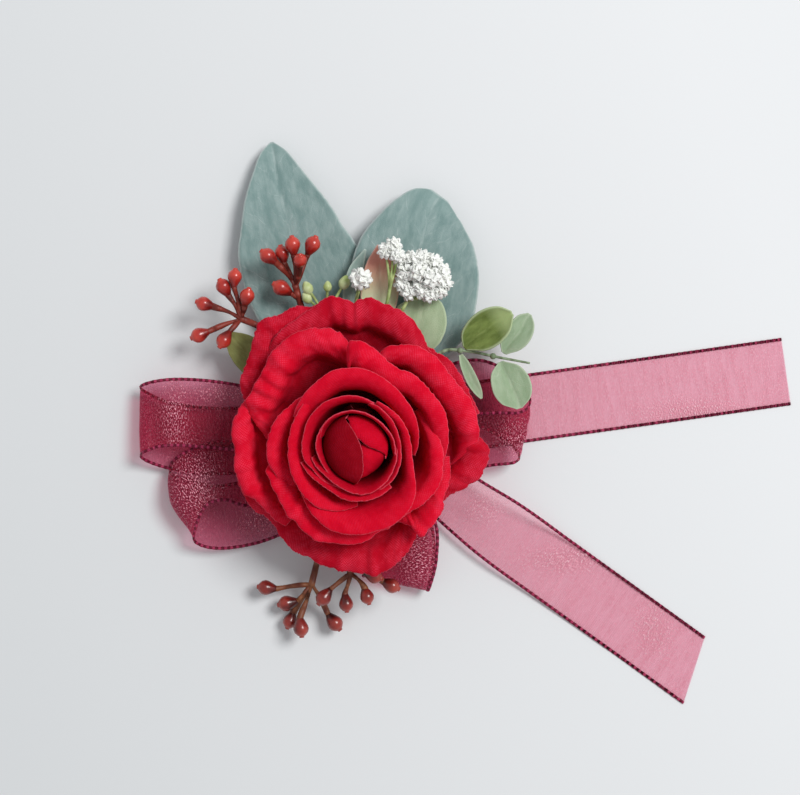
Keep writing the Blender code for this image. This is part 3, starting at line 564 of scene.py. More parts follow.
def leaf_material(name, base, mottled, vein, rim, tip, tip_share, roughness):
    """Pressed and dusted leaf cloth in one set of colours."""
    made, tree = start_material(name)
    flat = add(tree, "UVMap", {"uv_map": "cut"})
    parts = add(tree, "SeparateXYZ", {0: flat})
    side = add(tree, "Math", {"operation": "ABSOLUTE", 0: parts.node.outputs["X"]})
    bent = add(tree, "TexNoise", {"Vector": flat, "Scale": 0.11, "Detail": 3.0})
    climb = add(tree, "Math", {"operation": "MULTIPLY_ADD", 0: side, 1: -1.15,
        2: parts.node.outputs["Y"]})
    swayed = add(tree, "Math", {"operation": "MULTIPLY_ADD", 0: bent, 1: 14.0, 2: climb})
    lines = add(tree, "Math", {"operation": "PINGPONG", 0: swayed, 1: 3.3})
    ribs = add(tree, "MapRange", {0: lines, 1: 0.0, 2: 0.35, 3: 1.0, 4: 0.0})
    midrib = add(tree, "MapRange", {0: side, 1: 0.25, 2: 0.5, 3: 1.0, 4: 0.0})
    veins = add(tree, "Math", {"operation": "MAXIMUM", 0: ribs, 1: midrib})
    drawn = add(tree, "Mapping", {"Vector": flat, "Scale": (0.35, 0.12, 1.0)})
    cloudy = add(tree, "TexNoise", {"Vector": drawn, "Scale": 1.0, "Detail": 4.0,
        "Roughness": 0.65})
    dust = add(tree, "TexNoise", {"Vector": flat, "Scale": 3.5, "Detail": 3.0})
    patch = add(tree, "MapRange", {0: cloudy, 1: 0.36, 2: 0.64})
    ground = add(tree, "Mix", {0: patch, 6: linear(base),
        7: linear(mottled)})
    fade = add(tree, "Attribute", {"attribute_name": "reach"})
    blush = add(tree, "MapRange", {0: fade, 1: tip_share, 2: tip_share + 0.22})
    tipped = add(tree, "Mix", {0: blush, 6: ground, 7: linear(tip)})
    broken = add(tree, "MapRange", {0: cloudy, 1: 0.42, 2: 0.62, 3: 0.0, 4: 0.34})
    faint = add(tree, "Math", {"operation": "MULTIPLY", 0: veins, 1: broken})
    veined = add(tree, "Mix", {0: faint, 6: tipped, 7: linear(vein)})
    edge = add(tree, "Attribute", {"attribute_name": "rim"})
    bare = add(tree, "MapRange", {0: edge, 1: 0.1, 2: 0.6, 3: 0.75, 4: 0.0})
    edged = add(tree, "Mix", {0: bare, 6: veined, 7: linear(rim)})
    raised = add(tree, "Math", {"operation": "MULTIPLY_ADD", 0: faint, 1: 1.6, 2: dust})
    relief = add(tree, "Bump", {"Strength": 0.35, "Distance": 0.0003, "Height": raised})
    matt = add(tree, "BsdfPrincipled", {"Base Color": edged, "Roughness": roughness,
        "Specular IOR Level": 0.25, "Sheen Weight": 0.12, "Sheen Roughness": 0.5,
        "Normal": relief})
    add(tree, "OutputMaterial", {"Surface": matt})
    return made


frosted = leaf_material("flocked_eucalyptus_leaf", "#78928f", "#93a8a5", "#b9c8c5", "#c3cdca",
                        "#86a09c", 0.9, 0.85)
green = leaf_material("printed_green_leaf", "#a2b790", "#b6c8a4", "#ccd8b8", "#c0ceac",
                      "#aabc98", 0.9, 0.7)
blushed = leaf_material("printed_blush_leaf", "#d4d8b6", "#c4cea4", "#e8d4bc", "#e2b3a2",
                        "#d98e7e", 0.67, 0.7)
pale = leaf_material("printed_pale_leaf", "#8ea59e", "#9fb3ab", "#b9c8be", "#bccac0",
                     "#93a89f", 0.9, 0.8)
olive = leaf_material("printed_olive_leaf", "#7a7a45", "#94985c", "#a9ab70", "#8c8c58",
                      "#6b6440", 0.9, 0.7)


def blade(name, spine, cup, material, slot, rows, seed, wavy=0.25, start=None):
    """One leaf: the spine lists (x, y, z, half width) from the stalk to the tip."""
    path = smooth_path(([start] if start else []) + spine, LEAF_STATIONS)
    tangent = np.gradient(path[:, :3], axis=0)
    length = float(np.linalg.norm(tangent, axis=1).sum())
    side = tangent[:, [1, 0, 2]] * (-1, 1, 0)
    side /= np.linalg.norm(side, axis=1, keepdims=True)

    def form(t, s):
        row = s * (LEAF_STATIONS - 1)
        middle = at(path, row)
        half = np.maximum(middle[:, 3], 0.22)
        jag = 1 + LEAF_JAG * drift(t * 0 + np.sign(t) * 3, s * length / 1.3, seed)
        place = middle[:, :3] + at(side, row) * (half * t * jag)[:, None]
        broad = np.minimum(half / 4.0, 1.0)
        place[:, 2] += cup * half * t * t
        place[:, 2] -= MIDRIB_DEPTH * broad * np.exp(-(half * t / MIDRIB_WIDTH) ** 2)
        place[:, 2] += wavy * broad * drift(t * 1.4, s * length / 11.0, seed + 5) * (0.3 + t * t)
        rim = np.minimum((1 - np.abs(t)) * half, (1 - s) * length)
        return place, np.stack([half * t, s * length], axis=1), {"rim": rim, "reach": s}

    cloth(name + "_blade", LEAF_COLUMNS, rows, form, LEAF_THICKNESS, material, slot, name)


def leaf(name, azimuth, level, spine, cup, material, slot, seed):
    """A leaf whose stalk starts at the bundle."""
    blade(name, spine, cup, material, slot, LEAF_ROWS, seed,
          start=(*polar(azimuth, ROOT, level), 0.8))


leaf("leaf_large_left", 107, 3.0, [
    (-5.6, 15, 3, 2), (-9.5, 25, 3.4, 10), (-13.2, 35, 4, 16), (-16.4, 44, 4.8, 17.6),
    (-19.7, 52.5, 5.6, 16.6), (-21.4, 59.5, 6, 14.4), (-23.4, 67.5, 6, 11.2),
    (-25, 75.8, 5.2, 6.9), (-25.9, 81.2, 4.2, 3.8), (-26.3, 84.2, 3.6, 0.4)],
    0.06, frosted, "frosted_leaf", 11)
leaf("leaf_large_right", 69, 4.6, [
    (6.6, 15, 5, 2.4), (10.6, 24, 5.6, 12.5), (13.4, 33, 6.4, 18.2),
    (15, 41.5, 7, 18.9), (16.1, 49, 7.4, 18.2), (17.4, 55, 7.4, 16.2),
    (18.8, 60.4, 7, 12.8), (20.4, 64.6, 6.4, 9.4), (21.8, 67, 5.8, 6.4),
    (22.8, 68.4, 5.4, 2.8)], 0.05, frosted, "frosted_leaf", 12)
leaf("leaf_round", 58, 6.4, [
    (7.6, 13, 7, 1), (12, 21.5, 8.2, 3.2), (14.6, 26.6, 9.4, 7), (16.6, 31, 10.4, 8),
    (17.4, 35.4, 11, 6.8), (17.4, 38, 11.2, 4.2), (17.3, 39.2, 11.2, 1.2)],
    0.04, green, "green_leaf", 13)
leaf("leaf_blush", 84, 6.4, [
    (1.6, 16, 7.6, 0.9), (3.6, 28, 10, 2.6), (5, 37, 11.4, 5.2), (5.5, 43.6, 12.4, 5.2),
    (5.4, 49, 13.6, 3.6), (5, 53.4, 14.4, 0.4)], 0.1, blushed, "blush_leaf", 14)
leaf("leaf_pale", 93, 4.9, [
    (-0.8, 16, 6.4, 0.9), (-2.6, 28, 8.4, 1.4), (-3.2, 38, 9.6, 2.2), (-1.6, 46, 10.2, 2.2),
    (1.2, 52.4, 10.4, 0.3)], 0.1, pale, "pale_leaf", 15)
leaf("leaf_low_left", 151, 8.4, [
    (-13.4, 8.8, 9.4, 1), (-22, 14, 10, 2.4), (-29.4, 19.4, 10, 5),
    (-35, 24.4, 10, 4.2), (-39.2, 28.6, 9.8, 0.4)], 0.1, olive, "olive_leaf", 16)


# --- Eucalyptus sprig ---------------------------------------------------------------------------
# A thin moulded stem with four small rounded leaves of printed cloth, glued at its joints.  The
# soft plastic stem is pale green and slightly waxy.
SPRIG_LEAF_ROWS = 48
STEM_FOOT = 0.72               # radius of the stem at the bundle
STEM_TIP = 0.32
JOINTS = (29, 38)              # the rows of the stem where its leaves are glued
JOINT_RADIUS = 0.95


def stem_material(name, low, high, roughness):
    """Moulded soft plastic with colour that drifts along it."""
    made, tree = start_material(name)
    place = add(tree, "TexCoord")
    drifting = add(tree, "TexNoise", {"Vector": place, "Scale": 260.0, "Detail": 3.0})
    shade = add(tree, "ValToRGB", {0: drifting}, [(0.35, low), (0.65, high)])
    relief = add(tree, "Bump", {"Strength": 0.3, "Distance": 0.0002, "Height": drifting})
    waxy = add(tree, "BsdfPrincipled", {"Base Color": shade, "Roughness": roughness,
        "Specular IOR Level": 0.4, "Normal": relief})
    add(tree, "OutputMaterial", {"Surface": waxy})
    return made


sprig_green = leaf_material("printed_sprig_leaf", "#8ea582", "#a4b798", "#c2cdb4", "#b9c7aa",
                            "#9fb193", 0.9, 0.72)
# Painted shade: a darker copy of the sprig leaf's colours for the deeply cupped upper left leaf,
# which comes back to about the plain colours at its tip and edge.
sprig_shaded = leaf_material("printed_sprig_leaf_painted_shade", "#5c6e30", "#83954e", "#93a367",
                           "#b4c39a", "#9dae74", 0.6, 0.72)
shape = bmesh.new()
sprig_path = smooth_path([polar(30, ROOT + 0.4, 9.2), (12.6, 10.8, 10.4), (22.2, 22, 12.6),
                          (29.4, 23, 13.6), (39.8, 21, 15), (48.4, 19.4, 15.2)], 49)
sweep(shape, sprig_path, np.linspace(STEM_FOOT, STEM_TIP, 49), 10)
for row in JOINTS:
    bmesh.ops.create_icosphere(shape, subdivisions=2, radius=JOINT_RADIUS,
                               matrix=Matrix.Translation(sprig_path[row]))
join("eucalyptus_stem", shape, stem_material("moulded_green_stem", "#6f8060", "#93a384", 0.5),
     "sprig_stem", "sprig_stem")

for name, spine, cup, material, seed in [
        ("sprig_leaf_upper_left", [
            (29.8, 23.6, 14, 0.8), (32, 26, 15.2, 4.2), (36.2, 29.2, 16.6, 5.4),
            (40.4, 32, 17.8, 4), (43.2, 33.6, 18.2, 0.6)], 0.5, sprig_shaded, 21),
        ("sprig_leaf_upper_right", [
            (40.9, 22.2, 15.4, 0.7), (42.4, 24.6, 16.2, 3), (45, 27.8, 17, 3.8),
            (47, 31.4, 17.4, 2.8), (48.2, 33.4, 17.6, 0.5)], 0.25, sprig_green, 22),
        ("sprig_leaf_narrow", [
            (28.6, 21.9, 13.5, 0.6), (29.8, 19, 13.6, 1.4), (31.8, 14.6, 13.9, 1.7),
            (33.6, 11.2, 14, 1.2), (34.6, 9.2, 14, 0.3)], 0.1, sprig_green, 23),
        ("sprig_leaf_round", [
            (40, 19.8, 15, 0.7), (41, 17.2, 15.6, 4.2), (43, 13, 16.2, 5.6),
            (44.6, 9, 16.2, 4.4), (45.4, 6.4, 16, 0.8)], 0.15, sprig_green, 24)]:
    blade(name, spine, cup, material, "sprig_leaf", SPRIG_LEAF_ROWS, seed, wavy=0.15)


# --- Berry sprigs -------------------------------------------------------------------------------
# Moulded foam berries, drop-shaped with a small open calyx, dipped in glossy red paint and drawn
# darker towards their stalks.  The wired stalks are wrapped and painted to match.
def berry_material(name, dark, body, bright):
    """Dipped paint, darker towards the stalk and in its thicker places."""
    made, tree = start_material(name)
    place = add(tree, "TexCoord")
    pooled = add(tree, "TexNoise", {"Vector": place, "Scale": 320.0, "Detail": 3.0})
    height = add(tree, "Attribute", {"attribute_name": "tip"})
    mixed = add(tree, "Math", {"operation": "MULTIPLY_ADD", 0: pooled, 1: 0.9, 2: height})
    shade = add(tree, "ValToRGB", {0: mixed}, [(0.18, dark), (0.42, body), (0.7, bright)])
    relief = add(tree, "Bump", {"Strength": 0.25, "Distance": 0.0002, "Height": pooled})
    gloss = add(tree, "BsdfPrincipled", {"Base Color": shade, "Roughness": 0.28,
        "Specular IOR Level": 0.5, "Coat Weight": 0.35, "Coat Roughness": 0.2, "Normal": relief})
    add(tree, "OutputMaterial", {"Surface": gloss})
    return made


BERRY_OUTLINE = [(0, -3.3), (0.75, -3.2), (1.1, -2.5), (1.65, -1.5), (2.15, -0.4), (2.3, 0.5),
                 (2, 1.5), (1.3, 2.25), (0.75, 2.6), (0.72, 3), (0.48, 3.05), (0.3, 2.75),
                 (0, 2.7)]
BERRY_FOOT = 2.8               # from here on, below its middle, a berry's stalk is straight


def pointing(place, heading):
    """A frame at a place, with its z axis along the heading."""
    turn = Vector(heading).to_track_quat("Z", "Y").to_matrix().to_4x4()
    return Matrix.Translation(place) @ turn


def berry(shape, place, heading, grow):
    """One berry whose calyx points along the heading."""
    single = bmesh.new()
    spin(single, BERRY_OUTLINE, steps=14)
    tip = single.verts.layers.float.new("tip")
    for vert in single.verts:
        vert[tip] = vert.co.z / 10.0
    bmesh.ops.transform(single, matrix=pointing(place, heading) @ Matrix.Scale(grow, 4),
                        verts=single.verts)
    held = bpy.data.meshes.new("single_berry")
    single.to_mesh(held)
    single.free()
    shape.from_mesh(held)
    bpy.data.meshes.remove(held)


def stalk(azimuth, reach, level, trunk, rows, size, sides):
    """A stalk from the bundle through the trunk's points, and nine places along it."""
    points = [polar(azimuth, ROOT + reach, level)] + trunk
    shape = bmesh.new()
    sweep(shape, smooth_path(points, rows), size, sides)
    return shape, smooth_path(points, 9)


def berry_sprig(name, azimuth, level, trunk, berries, paint, stalk_paint, slot, seed):
    """Berries on short stalks: each has its place, the way its tip points and its joint."""
    swell = 0.8 + 0.25 * np.linspace(0, 1, 33) ** 3
    stalks, line = stalk(azimuth, 0.3, level, trunk, 33, swell, 9)
    part = np.linspace(0, 1, 13)
    fruit = bmesh.new()
    for k, (place, tip, joint) in enumerate(berries):
        place = np.array(place, dtype=float)
        tip = np.array(tip, dtype=float) / np.linalg.norm(tip)
        fork = line[joint] - (line[joint] - line[joint - 1]) * 0.1
        foot = place - tip * BERRY_FOOT
        middle = (fork + foot) / 2 + np.array((0.25, 0.3, 0.45))
        twig = smooth_path([fork, middle, foot, place - tip], len(part))
        sweep(stalks, twig, 0.62 + 0.42 * part ** 2 + 0.14 * np.sin(7 * part + k))
        berry(fruit, place, tip, 0.94 + 0.14 * noise.noise((k * 1.7, seed, 0.3)))
    join(name + "_stalks", stalks, stalk_paint, slot, name)
    finish(name + "_fruit", fruit, paint, slot, name)


bright_paint = berry_material("dipped_red_paint", "#6a120e", "#a8261e", "#c93e30")
dark_paint = berry_material("dipped_brown_red_paint", "#3c0f0c", "#7a201a", "#a23a2e")
red_stalk = stem_material("painted_red_stalk", "#5e2019", "#8e3629", 0.5)
ochre_stalk = stem_material("painted_ochre_stalk", "#5e261b", "#8c5636", 0.5)
berry_sprig("berry_sprig_top", 112, 7.0, [
    (-5.6, 15, 8.6), (-11.6, 25, 10.2), (-16.6, 34, 11.4), (-19, 42, 13.6)], [
    ((-13.9, 53, 18), (0.5, 1, 0.3), 8), ((-19.4, 52.9, 18), (-0.1, 1, 0.4), 8),
    ((-22.6, 50.6, 15.2), (-0.2, 1, 0.1), 8), ((-26.4, 49.8, 17.4), (-1, 0.8, 0.2), 8),
    ((-17.2, 48.4, 20.2), (0.1, 0.6, 0.8), 8), ((-22.8, 41, 12.6), (-0.9, 0.5, 0.1), 7)],
    bright_paint, red_stalk, "berry_red", 31)
berry_sprig("berry_sprig_left", 140, 6.8, [
    (-12, 12, 8.4), (-21, 24, 10), (-28.7, 29.6, 11), (-35, 32.4, 11.6)], [
    ((-36.2, 43.9, 15.4), (0.1, 1, 0.3), 8), ((-39.4, 41.2, 14), (-0.5, 0.9, 0.2), 8),
    ((-45, 36.4, 13.4), (-1, 0.3, 0.1), 8), ((-32.7, 38.4, 15.4), (0.3, 1, 0.5), 8),
    ((-46.6, 27.6, 11.4), (-1, -0.4, 0), 8), ((-39.4, 26.2, 12.6), (-0.5, -0.8, 0.2), 8)],
    bright_paint, red_stalk, "berry_red", 32)
berry_sprig("berry_sprig_bottom_left", -108, 9.4, [
    (-6.4, -16, 10.6), (-10.4, -28, 10.4), (-12.8, -38, 9), (-14.6, -45.2, 7)], [
    ((-27.6, -45.8, 6), (-1, 0.1, 0), 8), ((-21.6, -50.4, 5.2), (-1, -0.2, 0), 8),
    ((-20.9, -55.6, 3.6), (-0.4, -1, 0), 8), ((-17.6, -57.2, 7.6), (0.1, -1, 0), 8),
    ((-8, -56, 5), (0.7, -0.9, 0), 8)], dark_paint, ochre_stalk, "berry_brown", 33)
berry_sprig("berry_sprig_bottom_right", -88, 9.6, [
    (-0.6, -16, 11.4), (-1.6, -28, 12.6), (-2.6, -36, 12.6), (-3.2, -41.6, 12)], [
    ((-10.7, -48, 11.4), (-0.8, -1, 0), 8), ((-4.4, -49.8, 11), (0.1, -1, 0), 8),
    ((1.6, -47.6, 12.4), (0.3, -1, 0), 8), ((8.6, -44.4, 14), (1, -0.5, 0), 7),
    ((3.6, -41.6, 14.6), (0.9, -0.3, 0.3), 7)], dark_paint, ochre_stalk, "berry_brown", 34)


# --- Filler flowers and buds --------------------------------------------------------------------
# Round heads of small white cloth stars on fine wired stalks, and a few closed buds.  The flock
# on the stars is dry and bright; the stalks and the buds are yellow-green plastic.
STAR_THICKNESS = 0.14
HEAD_RADIUS = 2.6
HEAD_STARS = 8
GOLDEN = 0.618                 # spreads the stars' distances evenly
FLOWER_STALK = 0.5             # radii of the stalks
FLOWER_BRANCH = 0.36
BUD_BRANCH = 0.42


def thicken(shape, verts, thickness):
    """Give the faces between some points a thickness."""
    bmesh.ops.solidify(shape, geom=list({face for vert in verts for face in vert.link_faces}),
                       thickness=thickness)


def floret(shape, centre, facing, size, spin_by):
    """A star of five cupped petals."""
    base = pointing(centre, facing) @ Matrix.Rotation(spin_by, 4, "Z")
    for k in range(5):
        made = bmesh.ops.create_grid(shape, x_segments=2, y_segments=3, size=1.0)["verts"]
        for vert in made:
            t, s = vert.co.x, (vert.co.y + 1) / 2
            half = 0.36 * math.sin(math.pi * min(0.15 + 0.85 * s, 0.95)) + 0.04
            vert.co = Vector((size * half * t, size * (0.12 + 0.95 * s),
                              size * (0.16 * s * s - 0.10 * (1 - t * t))))
        bmesh.ops.transform(shape, matrix=base @ Matrix.Rotation(2 * math.pi * k / 5, 4, "Z"),
                            verts=made)
        thicken(shape, made, STAR_THICKNESS)


def branch(shape, line, place, size):
    """A fine branch from near the end of a flower's stalk."""
    middle = (line[7] + place) / 2 + np.array((0.2, 0.1, 0.2))
    sweep(shape, smooth_path([line[7], middle, place], 9), size, 7)


def flower_spray(name, azimuth, level, trunk, heads, seed):
    """Heads of white stars on one forked stalk."""
    stalks, line = stalk(azimuth, 0.2, level, trunk, 25, FLOWER_STALK, 8)
    bloom = bmesh.new()
    for k, (place, size) in enumerate(heads):
        place = np.array(place, dtype=float)
        radius = HEAD_RADIUS * size
        branch(stalks, line, place, FLOWER_BRANCH)
        bmesh.ops.create_icosphere(stalks, subdivisions=2, radius=radius * 0.42,
                                   matrix=Matrix.Translation(place))
        for n in range(HEAD_STARS):
            rise = 0.98 - 1.15 * n / HEAD_STARS
            turn = 2.4 * n + 1.3 * k + seed
            ring = math.sqrt(max(1 - rise * rise, 0.0))
            facing = np.array((ring * math.cos(turn), ring * math.sin(turn), rise))
            loose = (GOLDEN * n + 0.37 * k + 0.1) % 1.0
            spot = place + facing * radius * (0.5 + 0.42 * loose)
            floret(bloom, spot, facing, radius * (0.98 - 0.22 * loose), turn)
    join(name + "_stalks", stalks, flower_stalk, "bud_green", name)
    join(name + "_stars", bloom, star_white, "filler_white", name)


star_white, tree = start_material("flocked_white_cloth")
place = add(tree, "TexCoord")
grain = add(tree, "TexNoise", {"Vector": place, "Scale": 1100.0, "Detail": 4.0, "Roughness": 0.7})
shade = add(tree, "ValToRGB", {0: grain}, [(0.28, "#dfe3cf"), (0.42, "#f6f7f2"),
    (0.8, "#fbfbf9")])
relief = add(tree, "Bump", {"Strength": 0.5, "Distance": 0.0002, "Height": grain})
dry = add(tree, "BsdfPrincipled", {"Base Color": shade, "Roughness": 0.9,
    "Specular IOR Level": 0.15, "Normal": relief})
add(tree, "OutputMaterial", {"Surface": dry})
flower_stalk = stem_material("moulded_flower_stalk", "#7f9350", "#b7c583", 0.5)

flower_spray("filler_flowers_large", 74, 9.0, [
    (4.6, 16, 10.8), (8.4, 27, 13), (12, 35, 14.8), (15.6, 41, 15.6)], [
    ((11.8, 48.2, 16), 0.85), ((14.6, 49.2, 16.8), 0.85), ((17.6, 49.4, 16.8), 0.9),
    ((20.6, 48, 17), 0.95), ((22.8, 45.6, 16.8), 0.95), ((23.8, 42.6, 16.4), 0.9),
    ((22.4, 40.2, 16.4), 0.85), ((19.6, 39.2, 16.8), 0.9), ((16.8, 40.4, 17.6), 0.95),
    ((13.8, 39.8, 16.8), 0.9), ((11.8, 42, 16.4), 0.85), ((12.8, 45, 17.4), 0.95),
    ((16.4, 45.2, 19), 1.05), ((19.8, 43.6, 19.2), 1.05)], 0.4)
flower_spray("filler_flowers_small", 87, 10.2, [
    (1.6, 18, 11.8), (5.4, 30, 14.2), (7.8, 38, 16.8), (8.8, 45, 18.6)], [
    ((7, 51.2, 19.6), 0.8), ((9.2, 52.8, 19.6), 0.85), ((10.4, 50, 20), 0.8)], 0.9)
flower_spray("filler_flower_single", 100, 9.0, [
    (-1.6, 17, 10.8), (-2, 28, 12.6), (-1.6, 36, 14.2), (-0.6, 40.6, 15.4)], [
    ((0, 43.4, 17.2), 1.1)], 1.7)

# Closed buds: pale green ovals with three grooves that run together at the tip.
BUD_LENGTH = 1.3               # length by width
BUD_RADIUS = 2.4
bud_skin = stem_material("moulded_pale_bud", "#a9b96f", "#d6dfae", 0.45)
stalks, line = stalk(122, 0.2, 9.6, [
    (-5.2, 16, 11), (-8.6, 26, 12.4), (-10.6, 33, 13), (-12, 36.6, 13.4)], 25, FLOWER_STALK, 8)
buds = bmesh.new()
for place, size in [((-4.8, 42.6, 14.0), 0.7), ((-15.4, 41.0, 14.4), 0.66),
                    ((-15.6, 38.2, 13.8), 0.6), ((-9.6, 41.4, 15), 0.52)]:
    place = np.array(place)
    branch(stalks, line, place, BUD_BRANCH)
    single = bmesh.ops.create_icosphere(buds, subdivisions=3, radius=1.0)["verts"]
    for vert in single:
        upper = max(vert.co.z, 0.0)
        groove = 0.14 * (0.5 + 0.5 * math.cos(3 * math.atan2(vert.co.y, vert.co.x)))
        vert.co.xy *= (1 - groove * upper) * (1 - 0.25 * upper)
        vert.co.z *= BUD_LENGTH
    bmesh.ops.transform(buds, verts=single, matrix=pointing(place, place - line[6])
                        @ Matrix.Scale(BUD_RADIUS * size, 4))
join("bud_spray_stalks", stalks, flower_stalk, "bud_green", "bud_spray")
finish("bud_spray_buds", buds, bud_skin, "bud_green", "bud_spray")


# --- Calyx and core of the rose -----------------------------------------------------------------
# A moulded green plastic cup with five sepals holds the petals; a round-topped plastic core
# stands in it, and each ring of petals is glued on in turn.
CALYX_BOTTOM = 12.1
CALYX_TOP = 13.9
CALYX_RADIUS = 6.4
SEPAL_ROOT = 4.0
SEPAL_REACH = 15.0
SEPAL_THICKNESS = 0.5
CORE_RADIUS = 4.6
CORE_BOTTOM = 14.2

shape = bmesh.new()
spin(shape, [(0, CALYX_BOTTOM), (3.4, CALYX_BOTTOM), (5.2, CALYX_BOTTOM + 0.15),
             (CALYX_RADIUS, CALYX_TOP - 0.9), (CALYX_RADIUS - 0.1, CALYX_TOP - 0.3),
             (CALYX_RADIUS - 0.6, CALYX_TOP), (0, CALYX_TOP)], steps=40)
for k in range(5):
    made = bmesh.ops.create_grid(shape, x_segments=6, y_segments=12, size=1.0)["verts"]
    for vert in made:
        t, s = vert.co.x, (vert.co.y + 1) / 2
        reach = SEPAL_ROOT + (SEPAL_REACH - SEPAL_ROOT) * s
        half = 14.0 * (1 - s) ** 0.8 + 1.2
        vert.co = polar(18 + 72 * k + t * half, reach,
                        CALYX_TOP - 0.9 + 0.6 * s + 0.12 * t * t * (1 - s))
    thicken(shape, made, SEPAL_THICKNESS)
calyx_skin = stem_material("moulded_calyx_plastic", "#2f4a20", "#476b30", 0.45)
join("calyx_cup", shape, calyx_skin, "calyx_plastic", "rose_calyx")

core_skin = stem_material("moulded_core_plastic", "#5a0410", "#7c0a18", 0.6)
shape = bmesh.new()
spin(shape, [(0, CORE_BOTTOM), (CORE_RADIUS - 0.3, CORE_BOTTOM), (CORE_RADIUS, CORE_BOTTOM + 0.3),
             (CORE_RADIUS, CORE_BOTTOM + 11.1), (3.9, CORE_BOTTOM + 13.6),
             (2.4, CORE_BOTTOM + 15.8), (1.1, CORE_BOTTOM + 16.5), (0, CORE_BOTTOM + 16.6)],
     steps=32)
finish("moulded_core", shape, core_skin, "rose_core_plastic", "rose_core")


# --- Rose petals --------------------------------------------------------------------------------
# Die-cut woven polyester, dyed crimson, starched and pressed hot over a ball, so that each petal
# cups, creases and rolls outward at its cut rim, where pale broken fibres show.  They are glued
# on ring by ring round a closed bud of three.
PETAL_THICKNESS = 0.34
ROSE_LEAN = (-0.03, -0.22)     # sideways shift of the head per unit of height
GLUE_RADIUS = 5.0              # where the petals' feet meet the core
BUD_WAIST = 18.0               # height at which the bud's petals stand upright
BUD_SPRING = 22.4              # height at which they begin to close
# Where the bud's petals stand before they close over it, as (direction, distance).
BUD_WALL = [(-112, 8.9), (-90, 8.9), (-60, 8.4), (-20, 8.6), (40, 9.1), (100, 9.8), (150, 9.8),
            (185, 9.1), (220, 8.5), (250, 8.5), (270, 8.9)]
# Each ring: how high above the core's foot it is glued, its cup's foot (distance, height), how
# far the inner side and the crest of its lip lie below the rim, per unit of the lip's width, and
# how full its cup is half way up.
RINGS = {
    "bud": (11.0, 6.8, 14.0, 0, 0, 0), "heart": (10.6, 6.4, 13.6, 0, 0, 0),
    "ring1": (8.8, 8.0, 11.4, 0.7, 0.12, 0.62), "ring2": (7.3, 9.6, 9.8, 0.55, 0.08, 0.62),
    "ring3": (5.8, 11.6, 8.0, 0.26, -0.01, 0.64), "ring4": (4.3, 14.4, 6.0, 0.1, -0.07, 0.72),
    "ring5": (2.8, 17.4, 4.2, 0.04, -0.15, 0.84), "ring6": (1.3, 20.5, 2.2, 0.02, -0.12, 0.84),
}
# For each ring: columns, rows, how ragged the rim is and how deep the creases are (millimetres),
# how plainly the weave and its painted highlight show, and how light the painted shade, which
# darkens every petal towards its foot, leaves the ring at its rims (the bud is darkest).
FINISH = {
    "bud": (56, 40, 0.30, 0.16, 0.10, 0.22), "heart": (48, 36, 0.30, 0.16, 0.10, 0.8),
    "ring1": (64, 36, 0.30, 0.14, 0.15, 0.6), "ring2": (64, 36, 0.30, 0.16, 0.20, 0.72),
    "ring3": (88, 44, 0.35, 0.20, 0.35, 0.9), "ring4": (84, 46, 0.60, 0.30, 0.70, 1.0),
    "ring5": (92, 50, 0.80, 0.55, 1.0, 0.95), "ring6": (92, 48, 0.90, 0.45, 1.0, 0.64),
}
